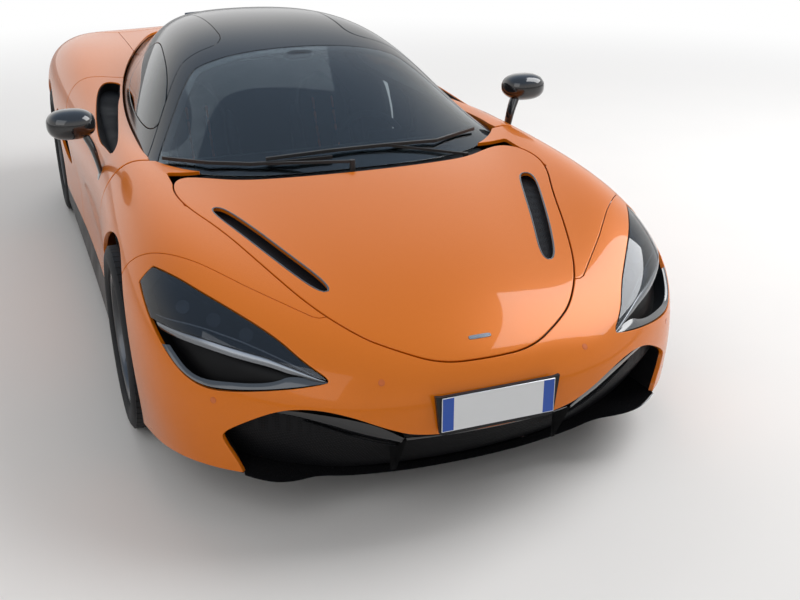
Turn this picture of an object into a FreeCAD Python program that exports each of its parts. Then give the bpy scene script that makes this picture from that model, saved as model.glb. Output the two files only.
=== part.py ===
import FreeCAD
import Part
import math
import os

from FreeCAD import Vector

# A two-seat, mid-engined supercar. Millimetres, +Z up, nose towards -Y, +X is the car's left.
# The origin is on the ground, in the middle of the car's length and width.

# Overall
WHEELBASE = 2670.0
FRONT_OVERHANG = 1080.0
REAR_OVERHANG = 793.0
WIDTH = 1930.0
HEIGHT = 1196.0
GROUND_CLEARANCE = 110.0
FRONT_TRACK = 1674.0
REAR_TRACK = 1629.0

# Panels and gaps
SKIN = 14.0
DOOR_THICKNESS = 50.0
FRAME_THICKNESS = 34.0
GLASS_THICKNESS = 6.0
SHUT_GAP = 5.0
INTAKE_LAP = 12.0
FIXED_GAP = 0.3
LAP_GAP = 0.8
FOOT_GAP = 1.2

# Tyres, wheels and brakes
FRONT_TYRE_RADIUS = 327.0
FRONT_TYRE_WIDTH = 245.0
FRONT_RIM_RADIUS = 241.0
REAR_TYRE_RADIUS = 345.5
REAR_TYRE_WIDTH = 292.0
REAR_RIM_RADIUS = 254.0
ARCH_CLEARANCE = 45.0
DISC_RADIUS = 182.0
DISC_THICKNESS = 34.0
SPOKE_COUNT = 10

LENGTH = FRONT_OVERHANG + WHEELBASE + REAR_OVERHANG
FRONT_AXLE_Y = -LENGTH / 2 + FRONT_OVERHANG
REAR_AXLE_Y = FRONT_AXLE_Y + WHEELBASE

# Where things lie
NOSE_Y = -LENGTH / 2
TAIL_Y = LENGTH / 2
BODY_STEPS = 2
CANOPY_STEPS = 1
FOOT_SINK = 15.0
TUB_BOTTOM = 116.3
FLOOR_THICKNESS = 30.0
FLOOR_X = 560.0
SILL_X = 825.0
PILLAR_X = 770.0
PILLAR_TOP = 570.0
BEAM_X = 650.0
TUNNEL_X = 90.0
FRONT_BULKHEAD_Y = FRONT_AXLE_Y + 406.5
REAR_BULKHEAD_Y = REAR_AXLE_Y - 548.5
REAR_BULKHEAD_TOP = 880.0
SCUTTLE_BEAM_Z = 700.0
FRONT_BOX_X = 500.0
NOSE_BOTTOM = 116.3
BAY_FLOOR_Z = 250.0
BAY_TOP_Z = 600.0
BAY_X = 300.0
BAY_WALL = 24.0
BAY_FRONT_Y = FRONT_AXLE_Y - 468.5
REAR_RAIL_X = 400.0
REAR_RAIL_LOW = 160.0
REAR_RAIL_HIGH = 500.0
WING_POST_Y = TAIL_Y - 174.5
BEAM_FRONT_Y = TAIL_Y - 151.5
BEAM_DEPTH = 50.0
RAIL_BEND_Y = REAR_AXLE_Y + 221.5
GEARBOX_END_Y = TAIL_Y - 331.5
EXHAUST_BOX_Y = TAIL_Y - 311.5
WING_POST_X = 300.0
ENGINE_X = 300.0
GEARBOX_X = 200.0
UPPER_JOINT_Z = 440.0
LOWER_JOINT_Z = 205.0
JOINT_HALF = 14.0
JOINT_PIN = 11.0
PIN_INSET = 82.5
EYE_RADIUS = 22.0
LEG_ANGLE = 19.0
LEG_RADIUS = 11.0
BUSH_RADIUS = 16.0
BUSH_HALF = 20.0
DAMPER_RADIUS = 30.0
RUN_GAP = 0.3
HUB_BORE = 33.0
HUB_RADIUS = 62.0
HUB_DEPTH = 24.0
DISC_OFFSET = 6.0
CALIPER_INNER = 116.0
CALIPER_OUTER = 204.0
CALIPER_SIDE = 22.0
TYRE_BEAD = 14.0
TYRE_FIT = 0.3
TREAD_THICKNESS = 13.0
SIDEWALL_THICKNESS = 9.0
LINER_THICKNESS = 4.0
LINER_X = 880.0
FRONT_LINER_RADIUS = 392.0
REAR_LINER_RADIUS = 400.0
TRAY_X = 880.0
TRAY_THICKNESS = 6.0
TRAY_TOP = GROUND_CLEARANCE + TRAY_THICKNESS + FIXED_GAP
REAR_LINER_INNER = 596.0
DIFFUSER_X = 590.0
SPLITTER_THICKNESS = 14.0
WING_THICKNESS = 18.0
DRIVER_X = 325.0
DASH_X = 540.0
STEERING_Y = FRONT_AXLE_Y + 941.5
STEERING_Z = 640.0
STEERING_TILT = 24.0
COLUMN_RADIUS = 26.0
COLUMN_END = 165.0
SEAT_FLOOR_Z = TUB_BOTTOM + FLOOR_THICKNESS
EXHAUST_X = 95.0
EXHAUST_Z = 640.0
EXHAUST_RADIUS = 58.0
MIRROR_X = 981.0
MIRROR_Y = FRONT_AXLE_Y + 718.5
MIRROR_Z = 926.0
MIRROR_FOOT_X = 876.0
MIRROR_FOOT_Y = FRONT_AXLE_Y + 786.5
PLATE_STAND = 18.0
PLATE_X = 180.0
PLATE_LOW = 368.0
PLATE_HIGH = 478.0
COWL_Y = FRONT_AXLE_Y + 143.5
SCUTTLE_DEPTH = 30.0
SCUTTLE_THICKNESS = 3.0
LAMP_DEPTH = 30.0
DOOR_AXIS_FRONT = (803.0, FRONT_AXLE_Y + 412.5, 779.0)
DOOR_AXIS_REAR = (221.0, FRONT_AXLE_Y + 1035.5, 1137.0)
HINGE_RADIUS = 12.0
HINGE_PIN = 6.0
HINGE_LENGTH = 42.0
HINGE_NECK = 28.0
# (x, behind the front axle, z) of the bends of the neck that joins a door to its hinge
DOOR_NECK = [(760, 435.5, 784), (738, 457.5, 776), (704, 489.5, 745), (704, 513.5, 744), (764, 551.5, 770)]
HINGE_DEPTH = 48.0
BONNET_HINGE_X = 610.0
BONNET_HINGE_Y = FRONT_AXLE_Y + 286.5
BONNET_PATCH_Y = FRONT_AXLE_Y + 201.5

# Body cage, the left half, one row per section from the nose's corner to the tail's corner.
# A place along the car is -1 at the nose, 0 at the front axle, 1 at the rear axle and 2 at the tail.
BODY_COLUMNS = ("at_centre z_centre at_valley x_valley z_valley at_crest x_crest z_crest "
                "at_side x_upper z_upper x_waist z_waist x_low z_low x_sill z_sill").split()
BODY_ROWS = [
    (-.935, 560, -.905, 360, 555, -.830, 640, 530, -.790, 700, 490, 740, 420, 745, 300, 720, 131),
    (-.800, 632, -.775, 430, 622, -.660, 730, 640, -.600, 870, 590, 900, 480, 905, 320, 870, 131),
    (-.556, 712, -.519, 500, 685, -.410, 765, 765, -.352, 915, 690, 950, 540, 950, 350, 925, 131),
    (-.231, 775, -.204, 545, 750, -.120, 790, 818, -.056, 930, 722, 962, 560, 962, 350, 945, 135),
    (.037, 830, .056, 600, 785, .075, 790, 840, .097, 920, 742, 955, 570, 935, 350, 935, 130),
    (.187, 860, .195, 660, 800, .210, 785, 848, .225, 890, 765, 935, 590, 895, 380, 930, 130),
    (.412, 850, .412, 680, 790, .412, 800, 838, .412, 890, 755, 925, 580, 885, 380, 930, 130),
    (.637, 900, .637, 640, 815, .637, 810, 868, .637, 910, 775, 935, 590, 900, 400, 935, 130),
    (.843, 950, .843, 560, 860, .843, 805, 925, .843, 930, 830, 962, 650, 950, 430, 945, 140),
    (1.10, 950, 1.10, 500, 878, 1.10, 790, 945, 1.10, 935, 850, 968, 680, 962, 450, 945, 160),
    (1.605, 925, 1.605, 480, 885, 1.59, 760, 920, 1.567, 905, 830, 945, 680, 940, 450, 920, 220),
    (1.920, 905, 1.908, 450, 898, 1.857, 700, 895, 1.832, 780, 830, 815, 680, 815, 450, 800, 300),
]

# The nose's and tail's faces, rows from the top down, at the centre and at the valley
FACE_COLUMNS = "at_centre z_centre at_valley x_valley z_valley".split()
NOSE_ROWS = [
    (-.995, 500, -.950, 420, 490),
    (-1.02, 430, -.965, 440, 420),
    (-1.01, 300, -.955, 450, 300),
    (-.97, 131, -.915, 440, 131),
]
TAIL_ROWS = [
    (2.02, 840, 1.99, 470, 840),
    (2.02, 690, 1.99, 480, 690),
    (2.00, 460, 1.97, 480, 460),
    (1.96, 300, 1.93, 470, 300),
]

# Canopy cage, the left half, from the windscreen's foot to the tail of the engine cover
CANOPY_COLUMNS = ("at_centre z_centre at_mid x_mid z_mid at_rail x_rail z_rail "
                  "at_glass x_glass z_glass at_belt x_belt z_belt").split()
CANOPY_ROWS = [
    (.052, 822, .065, 330, 818, .115, 565, 808, .165, 690, 800, .205, 735, 792),
    (.215, 1005, .225, 325, 992, .260, 545, 945, .285, 665, 880, .310, 728, 795),
    (.380, 1160, .384, 305, 1148, .394, 512, 1090, .402, 628, 965, .410, 722, 795),
    (.525, 1212, .525, 295, 1202, .525, 480, 1145, .525, 598, 990, .525, 705, 800),
    (.695, 1195, .695, 270, 1185, .695, 430, 1130, .695, 545, 990, .695, 655, 822),
    (.865, 1128, .865, 220, 1120, .865, 350, 1070, .865, 455, 965, .865, 560, 850),
    (1.05, 1045, 1.05, 170, 1038, 1.05, 270, 1008, 1.05, 350, 940, 1.05, 450, 865),
    (1.50, 912, 1.50, 120, 911, 1.50, 190, 908, 1.50, 250, 898, 1.50, 330, 880),
]


def along(at):
    """The Y of a place along the car, -1 at the nose, 0 and 1 at the axles, 2 at the tail."""
    if at < 0:
        return FRONT_AXLE_Y + at * FRONT_OVERHANG
    if at < 1:
        return FRONT_AXLE_Y + at * WHEELBASE
    return REAR_AXLE_Y + (at - 1) * REAR_OVERHANG


# Meshes are (points, normals, faces): the skin is shaped on a cage, cut on outlines and then given its thickness.
def blend(pairs):
    total = sum(weight for weight, _ in pairs)
    return tuple(sum(weight * p[k] for weight, p in pairs) / total for k in range(3))


def subdivide(points, faces):
    """One step of Catmull and Clark's rule."""
    face_points = [blend([(1, points[i]) for i in face]) for face in faces]
    edge_faces, neighbours, point_faces = {}, {}, {}
    for f, face in enumerate(faces):
        for k, a in enumerate(face):
            b = face[(k + 1) % len(face)]
            edge_faces.setdefault((min(a, b), max(a, b)), []).append(f)
            point_faces.setdefault(a, []).append(f)
    for a, b in edge_faces:
        neighbours.setdefault(a, []).append(b)
        neighbours.setdefault(b, []).append(a)
    moved = []
    for i, p in enumerate(points):
        rim = [j for j in neighbours[i] if len(edge_faces[(min(i, j), max(i, j))]) == 1]
        if rim:
            moved.append(blend([(6, p)] + [(1, points[j]) for j in rim]) if len(rim) == 2 else p)
            continue
        n = len(neighbours[i])
        mids = blend([(1, points[j]) for j in neighbours[i]])
        centres = blend([(1, face_points[f]) for f in point_faces[i]])
        moved.append(blend([(n - 2, p), (1, mids), (1, centres)]))
    edge_index = {}
    for (a, b), users in edge_faces.items():
        edge_index[(a, b)] = len(moved)
        moved.append(blend([(1, points[a]), (1, points[b])] + [(1, face_points[f]) for f in users if len(users) == 2]))
    made = []
    for f, face in enumerate(faces):
        centre = len(moved)
        moved.append(face_points[f])
        for k, a in enumerate(face):
            b, z = face[(k + 1) % len(face)], face[k - 1]
            made.append((a, edge_index[(min(a, b), max(a, b))], centre, edge_index[(min(a, z), max(a, z))]))
    return moved, made


def onto_limit(points, faces):
    """The points moved onto the smooth surface that the steps lead to."""
    edge_faces, around, opposite = {}, {}, {}
    for f, face in enumerate(faces):
        for k, a in enumerate(face):
            b = face[(k + 1) % 4]
            edge_faces.setdefault((min(a, b), max(a, b)), []).append(f)
            opposite.setdefault(a, []).append(face[(k + 2) % 4])
    for a, b in edge_faces:
        around.setdefault(a, []).append(b)
        around.setdefault(b, []).append(a)
    moved = []
    for i, p in enumerate(points):
        rim = [j for j in around[i] if len(edge_faces[(min(i, j), max(i, j))]) == 1]
        if len(rim) == 2:
            moved.append(blend([(4, p)] + [(1, points[j]) for j in rim]))
        elif rim:
            moved.append(p)
        else:
            n = len(around[i])
            moved.append(blend([(n * n, p)] + [(4, points[j]) for j in around[i]] + [(1, points[j]) for j in opposite[i]]))
    return moved


def cross(a, b):
    return (a[1] * b[2] - a[2] * b[1], a[2] * b[0] - a[0] * b[2], a[0] * b[1] - a[1] * b[0])


def minus(a, b):
    return (a[0] - b[0], a[1] - b[1], a[2] - b[2])


def with_normals(points, faces):
    normals = [[0.0, 0.0, 0.0] for _ in points]
    for face in faces:
        n = cross(minus(points[face[2]], points[face[0]]), minus(points[face[-1]], points[face[1]]))
        for i in face:
            for k in range(3):
                normals[i][k] += n[k]
    unit = []
    for n in normals:
        size = math.sqrt(sum(c * c for c in n)) or 1.0
        unit.append(tuple(c / size for c in n))
    return points, unit, faces


def grid_faces(rows):
    """Quads between the rows of point indices."""
    return [(rows[i][j], rows[i][j + 1], rows[i + 1][j + 1], rows[i + 1][j])
            for i in range(len(rows) - 1) for j in range(len(rows[0]) - 1)]


def mirrored_row(half):
    """A section's points from the right sill over the centre to the left sill."""
    return [(-x, y, z) for x, y, z in reversed(half[1:])] + half


def body_section(row):
    c = dict(zip(BODY_COLUMNS, row))
    y_centre, y_valley, y_side = along(c["at_centre"]), along(c["at_valley"]), along(c["at_side"])
    half = [(0.0, y_centre, c["z_centre"]),
            (c["x_valley"] / 2, y_centre + .3 * (y_valley - y_centre), c["z_centre"] + .3 * (c["z_valley"] - c["z_centre"])),
            (c["x_valley"], y_valley, c["z_valley"]),
            (c["x_crest"], along(c["at_crest"]), c["z_crest"])]
    for name in ("upper", "waist", "low", "sill"):
        half.append((c["x_" + name], y_side, c["z_" + name]))
    return mirrored_row(half)


def face_section(row):
    c = dict(zip(FACE_COLUMNS, row))
    y_centre, y_valley = along(c["at_centre"]), along(c["at_valley"])
    half = [(0.0, y_centre, c["z_centre"]),
            (c["x_valley"] / 2, y_centre + .25 * (y_valley - y_centre), (c["z_centre"] + c["z_valley"]) / 2),
            (c["x_valley"], y_valley, c["z_valley"])]
    return mirrored_row(half)


def body_mesh(steps):
    points, rows = [], []
    for row in BODY_ROWS:
        section = body_section(row)
        rows.append(list(range(len(points), len(points) + len(section))))
        points += section
    faces = grid_faces(rows)
    middle = len(rows[0]) // 2
    for end_row, face_rows, order in ((rows[0], NOSE_ROWS, -1), (rows[-1], TAIL_ROWS, 1)):
        grid = [end_row[middle - 3:middle + 4]]
        for k, row in enumerate(face_rows):
            section = face_section(row)
            inner = list(range(len(points), len(points) + len(section)))
            points += section
            grid.append([end_row[middle - 4 - k]] + inner + [end_row[middle + 4 + k]])
        for a, b, c, d in grid_faces(grid):
            faces.append((a, b, c, d) if order > 0 else (a, d, c, b))
    for _ in range(steps):
        points, faces = subdivide(points, faces)
    points = onto_limit(points, faces)
    nose, tail = min(p[1] for p in points), max(p[1] for p in points)
    wide = max(p[0] for p in points)

    def fitted(p):
        x, y, z = p
        if y < FRONT_AXLE_Y:
            y = FRONT_AXLE_Y + (y - FRONT_AXLE_Y) * (FRONT_OVERHANG - PLATE_STAND) / (FRONT_AXLE_Y - nose)
        elif y > REAR_AXLE_Y:
            y = REAR_AXLE_Y + (y - REAR_AXLE_Y) * REAR_OVERHANG / (tail - REAR_AXLE_Y)
        return (x * WIDTH / 2 / wide, y, z)

    return with_normals([fitted(p) for p in points], faces)


def height_at(mesh, x, y):
    """The height of a mesh's upper side over a place."""
    points, normals, faces = mesh
    best = None
    for face in faces:
        if normals[face[0]][2] < 0.1:
            continue
        for a, b, c in ((face[0], face[1], face[2]), (face[0], face[2], face[-1])):
            (xa, ya, za), (xb, yb, zb), (xc, yc, zc) = points[a], points[b], points[c]
            area = (xb - xa) * (yc - ya) - (xc - xa) * (yb - ya)
            if abs(area) < 1e-9:
                continue
            v = ((x - xa) * (yc - ya) - (xc - xa) * (y - ya)) / area
            w = ((xb - xa) * (y - ya) - (x - xa) * (yb - ya)) / area
            if min(v, w, 1 - v - w) > -1e-6:
                z = za + v * (zb - za) + w * (zc - za)
                best = z if best is None else max(best, z)
    return best


def canopy_mesh(steps, body):
    """The cabin's surface. Its rim is FOOT_SINK under the body's surface."""
    points, rows = [], []
    for number, row in enumerate(CANOPY_ROWS):
        c = dict(zip(CANOPY_COLUMNS, row))
        half = [(0.0, along(c["at_centre"]), c["z_centre"])]
        for name in ("mid", "rail", "glass", "belt"):
            half.append((c["x_" + name], along(c["at_" + name]), c["z_" + name]))
        at_end = number in (0, len(CANOPY_ROWS) - 1)
        half = [(x, y, height_at(body, x, y) - FOOT_SINK if at_end or k == 4 else z) for k, (x, y, z) in enumerate(half)]
        section = mirrored_row(half)
        rows.append(list(range(len(points), len(points) + len(section))))
        points += section
    faces = grid_faces(rows)
    for _ in range(steps):
        points, faces = subdivide(points, faces)
    points = onto_limit(points, faces)
    top, foot = max(p[2] for p in points), min(p[2] for p in points)
    scale = (HEIGHT - foot) / (top - foot)
    return with_normals([(x, y, foot + (z - foot) * scale) for x, y, z in points], faces)


SNAP_SHARE = 0.14
ON_CUT = 0.5
ROOT_STEPS = 16


def between(a, b, t):
    return tuple(a[k] + (b[k] - a[k]) * t for k in range(3))


def crossing(pa, pb, va, keep):
    """How far from a to b the value of keep is zero."""
    low, high = 0.0, 1.0
    for _ in range(ROOT_STEPS):
        t = (low + high) / 2
        if (keep(between(pa, pb, t)) > 0) == (va > 0):
            low = t
        else:
            high = t
    return (low + high) / 2


def rim_edges(faces):
    """The directed edges that only one face has."""
    edges = {(face[k - 1], face[k]) for face in faces for k in range(len(face))}
    return [(a, b) for a, b in edges if (b, a) not in edges]


def rim_points(faces):
    return {a for a, _ in rim_edges(faces)}


def clip(mesh, keep):
    """The part of a mesh where keep is negative, cut exactly on keep's zero line."""
    points, normals, faces = [list(mesh[0]), list(mesh[1]), mesh[2]]
    values = [keep(p) for p in points]
    if max(values) <= 0:
        return mesh
    rim = set(rim_points(faces))
    nearest = {}
    for a, b in {(min(f[k], f[k - 1]), max(f[k], f[k - 1])) for f in faces for k in range(len(f))}:
        if values[a] * values[b] < 0:
            t = crossing(points[a], points[b], values[a], keep)
            for i, other, share in ((a, b, t), (b, a, 1 - t)):
                if i not in rim and share < SNAP_SHARE and share < nearest.get(i, (1.0,))[0]:
                    nearest[i] = (share, other)
    start_points = list(points)
    for i, (share, other) in nearest.items():
        if other in nearest and nearest[other][1] == i and other < i:
            continue
        points[i] = between(start_points[i], start_points[other], share)
        values[i] = 0.0
    new_index = {}
    kept = []
    for face in faces:
        if all(values[i] >= 0 for i in face):
            continue
        outline = []
        for k, a in enumerate(face):
            b = face[(k + 1) % len(face)]
            if values[a] <= 0:
                outline.append(a)
            if values[a] * values[b] < 0:
                key = (min(a, b), max(a, b))
                if key not in new_index:
                    t = crossing(points[key[0]], points[key[1]], values[key[0]], keep)
                    new_index[key] = len(points)
                    points.append(between(points[key[0]], points[key[1]], t))
                    normals.append(between(normals[key[0]], normals[key[1]], t))
                outline.append(new_index[key])
        if len(outline) > 2:
            kept.append(tuple(outline))
    return compact(points, normals, kept)


def compact(points, normals, faces):
    used = sorted({i for face in faces for i in face})
    place = {i: k for k, i in enumerate(used)}
    return ([points[i] for i in used], [normals[i] for i in used], [tuple(place[i] for i in face) for face in faces])


def region(mesh, *keeps):
    for keep in keeps:
        mesh = clip(mesh, keep)
    return mesh


def inset(mesh, moving_cuts=(), everywhere=False):
    """Draws a skin's rim in by half of a fixed seam, or half of a shut gap where it lies on a moving cut."""
    points, normals, faces = mesh
    ways = {}
    for a, b in rim_edges(faces):
        along_edge = minus(points[b], points[a])
        if abs(points[a][0]) < 0.01 and abs(points[b][0]) < 0.01:
            continue
        for i in (a, b):
            way = cross(normals[i], along_edge)
            size = math.sqrt(sum(c * c for c in way)) or 1.0
            ways.setdefault(i, []).append(tuple(c / size for c in way))
    moved = list(points)
    for i, found in ways.items():
        p = points[i]
        moves = everywhere or any(abs(cut(p)) < ON_CUT for cut in moving_cuts)
        total = tuple(sum(way[k] for way in found) for k in range(3))
        square = max(sum(c * c for c in total), 1.0)
        reach = (SHUT_GAP if moves else FIXED_GAP) / 2 * len(found) * 2 / (square + len(found))
        q = tuple(p[k] + total[k] * reach for k in range(3))
        moved[i] = (0.0, q[1], q[2]) if abs(p[0]) < 0.01 else q
    return moved, normals, faces


def mirrored(mesh):
    points, normals, faces = mesh
    return ([(-x, y, z) for x, y, z in points], [(-x, y, z) for x, y, z in normals], [tuple(reversed(f)) for f in faces])


def triangles(mesh):
    points, _, faces = mesh
    found = []
    for face in faces:
        if len(face) == 4:
            a, b, c, d = face
            ac = sum(v * v for v in minus(points[a], points[c]))
            bd = sum(v * v for v in minus(points[b], points[d]))
            found += [(a, b, c), (a, c, d)] if ac < bd else [(a, b, d), (b, c, d)]
        else:
            found += [(face[0], face[k], face[k + 1]) for k in range(1, len(face) - 1)]
    return found


def islands(faces, count):
    """Faces grouped by the points that they share."""
    parent = list(range(count))

    def root(i):
        while parent[i] != i:
            parent[i] = parent[parent[i]]
            i = parent[i]
        return i

    for face in faces:
        for i in face[1:]:
            parent[root(i)] = root(face[0])
    groups = {}
    for face in faces:
        groups.setdefault(root(face[0]), []).append(face)
    return list(groups.values())


def thick(mesh, thickness, lift=0.0):
    """Closed solids under a skin, from lift above it to thickness below, one for each island of the skin."""
    points, normals, _ = mesh
    count = len(points)
    solids = []
    for faces in islands(triangles(mesh), count):
        used = sorted({i for face in faces for i in face})
        place = {i: k for k, i in enumerate(used)}
        n = len(used)
        corners = []
        for depth in (-lift, thickness):
            for i in used:
                corners.append(Vector(*[points[i][k] - normals[i][k] * depth for k in range(3)]))
        shell, edges = [], {}
        for face in faces:
            a, b, c = (place[i] for i in face)
            shell += [(a, b, c), (a + n, c + n, b + n)]
            for p, q in ((a, b), (b, c), (c, a)):
                edges[(p, q)] = True
        for p, q in edges:
            if (q, p) not in edges:
                start, end = corners[p], corners[q]
                run = max((abs(end.x) - abs(start.x), end.y - start.y, end.z - start.z), key=abs)
                shell += [(q, p, p + n), (q, p + n, q + n)] if run > 0 else [(q, p, q + n), (p, p + n, q + n)]
        shape = Part.Shape()
        shape.makeShapeFromMesh((corners, shell), 0.002)
        solid = Part.makeSolid(shape)
        if solid.Volume < 0:
            solid.reverse()
        solids.append(solid)
    return solids


class Outline:
    """A closed line in two of the three directions. Its value is negative inside, in millimetres."""

    def __init__(self, corners, axes, rounding=0):
        self.axes = axes
        for _ in range(rounding):
            corners = [self.mix(corners[k - 1 + i], corners[(k + i) % len(corners)], t)
                       for k in range(len(corners)) for i, t in ((0, .75), (1, .25))]
        self.corners = corners
        self.low = [min(c[k] for c in corners) for k in range(2)]
        self.high = [max(c[k] for c in corners) for k in range(2)]

    @staticmethod
    def mix(a, b, t):
        return (a[0] + (b[0] - a[0]) * t, a[1] + (b[1] - a[1]) * t)

    def value(self, p):
        u, v = p[self.axes[0]], p[self.axes[1]]
        best, inside = 1e18, False
        (ua, va) = self.corners[-1]
        for ub, vb in self.corners:
            du, dv = ub - ua, vb - va
            t = ((u - ua) * du + (v - va) * dv) / (du * du + dv * dv + 1e-12)
            t = 0.0 if t < 0 else 1.0 if t > 1 else t
            eu, ev = u - ua - du * t, v - va - dv * t
            d = eu * eu + ev * ev
            if d < best:
                best = d
            if (va > v) != (vb > v) and u < ua + (v - va) * du / (dv or 1e-12):
                inside = not inside
            ua, va = ub, vb
        return -math.sqrt(best) if inside else math.sqrt(best)

    def inside(self, gap=0.0):
        return lambda p: self.value(p) + gap

    def outside(self, gap=0.0):
        return lambda p: gap - self.value(p)


def plan_outline(half, rounding=2):
    """A closed line seen from above, from the (x, place along the car) corners of its left half."""
    left = [(x, along(at)) for x, at in half]
    right = [(-x, y) for x, y in reversed(left)]
    if left[0][0] == 0:
        right = right[:-1]
    if left[-1][0] == 0:
        right = right[1:]
    return Outline(left + right, (0, 1), rounding)


def step_line(table, value):
    """The straight-line reading of a table of (input, output) at value."""
    for (a, fa), (b, fb) in zip(table, table[1:]):
        if value <= b:
            t = max(0.0, (value - a) / (b - a))
            return fa + (fb - fa) * t
    return table[-1][1]


def ahead_of(table, key, gap=0.0):
    """Keeps what lies ahead of the line that gives the place along the car for |x| (key 0) or z (key 2)."""
    return lambda p: p[1] - along(step_line(table, abs(p[key]))) + gap


def behind(table, key, gap=0.0):
    return lambda p: along(step_line(table, abs(p[key]))) - p[1] + gap


def wing_outside(wing_line):
    """Keeps what the wing's outline leaves, and all that lies too low to be part of the wing."""
    return lambda p: max(-wing_line.value(p), -99.0) if p[2] > WING_LOW else -99.0


def weld(first, second):
    """Two skins as one, joined at the points that they share."""
    points, normals, faces = list(first[0]), list(first[1]), list(first[2])
    place_of = {tuple(round(c, 2) for c in p): i for i, p in enumerate(points)}
    place = []
    for p, n in zip(second[0], second[1]):
        key = tuple(round(c, 2) for c in p)
        if key not in place_of:
            place_of[key] = len(points)
            points.append(p)
            normals.append(n)
        place.append(place_of[key])
    return points, normals, faces + [tuple(place[i] for i in face) for face in second[2]]


def left_half(p):
    return -p[0]


def above(height, gap=0.0):
    return lambda p: height + gap - p[2]


def below(height, gap=0.0):
    return lambda p: p[2] - height + gap


def beyond(x, gap=0.0):
    return lambda p: x + gap - abs(p[0])


def within(x, gap=0.0):
    return lambda p: abs(p[0]) - x + gap


def oblong_cuts(x, y, half_x, half_y):
    """Keeps what lies over a level rectangle, by one straight cut at a time."""
    return [lambda p: x - half_x - p[0], lambda p: p[0] - x - half_x,
            lambda p: y - half_y - p[1], lambda p: p[1] - y - half_y]


def clear_of_wheel(axle_y, tyre_radius, ramp=0.0):
    """Keeps what is outside a wheel arch, in the side view."""
    radius = tyre_radius + ARCH_CLEARANCE + ramp
    return lambda p: radius - math.hypot(p[1] - axle_y, p[2] - tyre_radius)


ROOF_SPLIT = 284.0

# Shut lines: (x, place along the car) seen from above, (place, height) seen from the side, (x, height) from the front
BONNET_EDGE = [(0, -.925), (150, -.915), (265, -.855), (352, -.790), (450, -.650), (532, -.443), (606, -.227),
               (680, -.06), (704, .025), (690, .075), (645, .099), (580, .096), (450, .062), (300, .042), (150, .030),
               (0, .026)]
BUMPER_LINE = [(445, -.70), (616, -.523), (721, -.403), (850, -.27), (935, -.19), (970, -.16)]
DOOR_FRONT = [(235, .205), (400, .190), (600, .180), (760, .180), (860, .186)]
FENDER_REAR = [(235, .205), (400, .190), (600, .180), (720, .1798), (770, .1772), (860, .1832)]
DOOR_REAR = [(235, .600), (400, .635), (600, .685), (760, .722), (860, .735), (1000, .735), (1200, .70)]
TAIL_LINE = [(100, 1.56), (420, 1.58), (700, 1.66), (900, 1.78)]
LAMP_EDGE = [(462, 520), (560, 578), (700, 640), (868, 712), (893, 650), (872, 530), (842, 482), (789, 458), (640, 480),
             (520, 502)]
INTAKE_EDGE = [(0, 338), (235, 345), (350, 370), (500, 408), (640, 412), (765, 330), (800, 235), (765, 160),
               (700, 100), (0, 100)]
WINDSCREEN_EDGE = [(0, .03), (500, .05), (690, .14), (712, .19), (478, .355), (400, .362), (0, .365)]
DOOR_TOP_EDGE = [(790, .10), (755, .20), (515, .385), (440, .405), (ROOF_SPLIT, .412), (ROOF_SPLIT, .50),
                 (ROOF_SPLIT, .80), (790, .80)]
SCREEN_FOOT = [(0, .052), (330, .065), (565, .115), (690, .165)]
SIDE_GLASS_EDGE = [(.262, 862), (.335, 972), (.42, 1052), (.52, 1085), (.60, 1082), (.655, 1040), (.675, 960),
                   (.665, 888), (.55, 862), (.40, 855)]
REAR_GLASS_EDGE = [(0, .755), (180, .757), (255, .78), (235, .86), (170, .895), (0, .90)]
WING_EDGE = [(0, 1.66), (420, 1.655), (600, 1.66), (640, 1.72), (630, 1.90), (560, 1.93), (0, 1.935)]
REAR_MESH_EDGE = [(0, 800), (420, 798), (600, 775), (690, 720), (660, 620), (520, 545), (300, 520), (0, 515)]
DIFFUSER_EDGE = [(0, 400), (420, 398), (600, 360), (680, 280), (700, 100), (0, 100)]
SIDE_INTAKE_EDGE = [(.735, 640), (.80, 670), (.86, 668), (.85, 560), (.80, 470), (.735, 440), (.70, 470), (.71, 560)]
SKIRT_TOP = 235.0
SCUTTLE_X = 655.0
SCUTTLE_ARM_X = 588.0
SCUTTLE_ARM_Y = FRONT_AXLE_Y + 226.5
FENDER_TONGUE_X = 560.0
FENDER_TONGUE_Y = FRONT_AXLE_Y + 321.5
FENDER_INNER_X = 690.0
DOOR_CORNER_X = 724.0
DOOR_CORNER_Y = FRONT_AXLE_Y + 554
NOSE_SPLIT = -.33
GLASS_FRONT_Y = FRONT_AXLE_Y + 772
LAMP_BAND = (8.0, 28.0)
DECK_X = 500.0
WING_LOW = 760.0
ENGINE_LID_FRONT = .955


def side_outline(corners, rounding=2):
    return Outline([(along(at), z) for at, z in corners], (1, 2), rounding)


def canopy_foot(canopy):
    """The canopy's lower edge, seen from above, as an outline."""
    points, _, faces = canopy
    following = {}
    for face in faces:
        for k, a in enumerate(face):
            following[(a, face[(k + 1) % len(face)])] = True
    loop_next = {a: b for a, b in following if (b, a) not in following}
    start = next(iter(loop_next))
    order, i = [start], loop_next[start]
    while i != start:
        order.append(i)
        i = loop_next[i]
    return Outline([(points[i][0], points[i][1]) for i in order], (0, 1))


def front_outline(half, rounding=2):
    """A closed line seen from the front, from the (x, height) corners of its left half."""
    return Outline(half + [(-x, z) for x, z in reversed(half[1:-1])], (0, 2), rounding)


def join_halves(left):
    """A left half and its mirror image as one skin, welded on the centre line."""
    points, normals, faces = left
    right_points, right_normals, right_faces = mirrored(left)
    count = len(points)
    place = [i if abs(p[0]) < 0.01 else count + i for i, p in enumerate(points)]
    return compact(points + right_points, normals + right_normals,
                   list(faces) + [tuple(place[i] for i in face) for face in right_faces])


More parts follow.
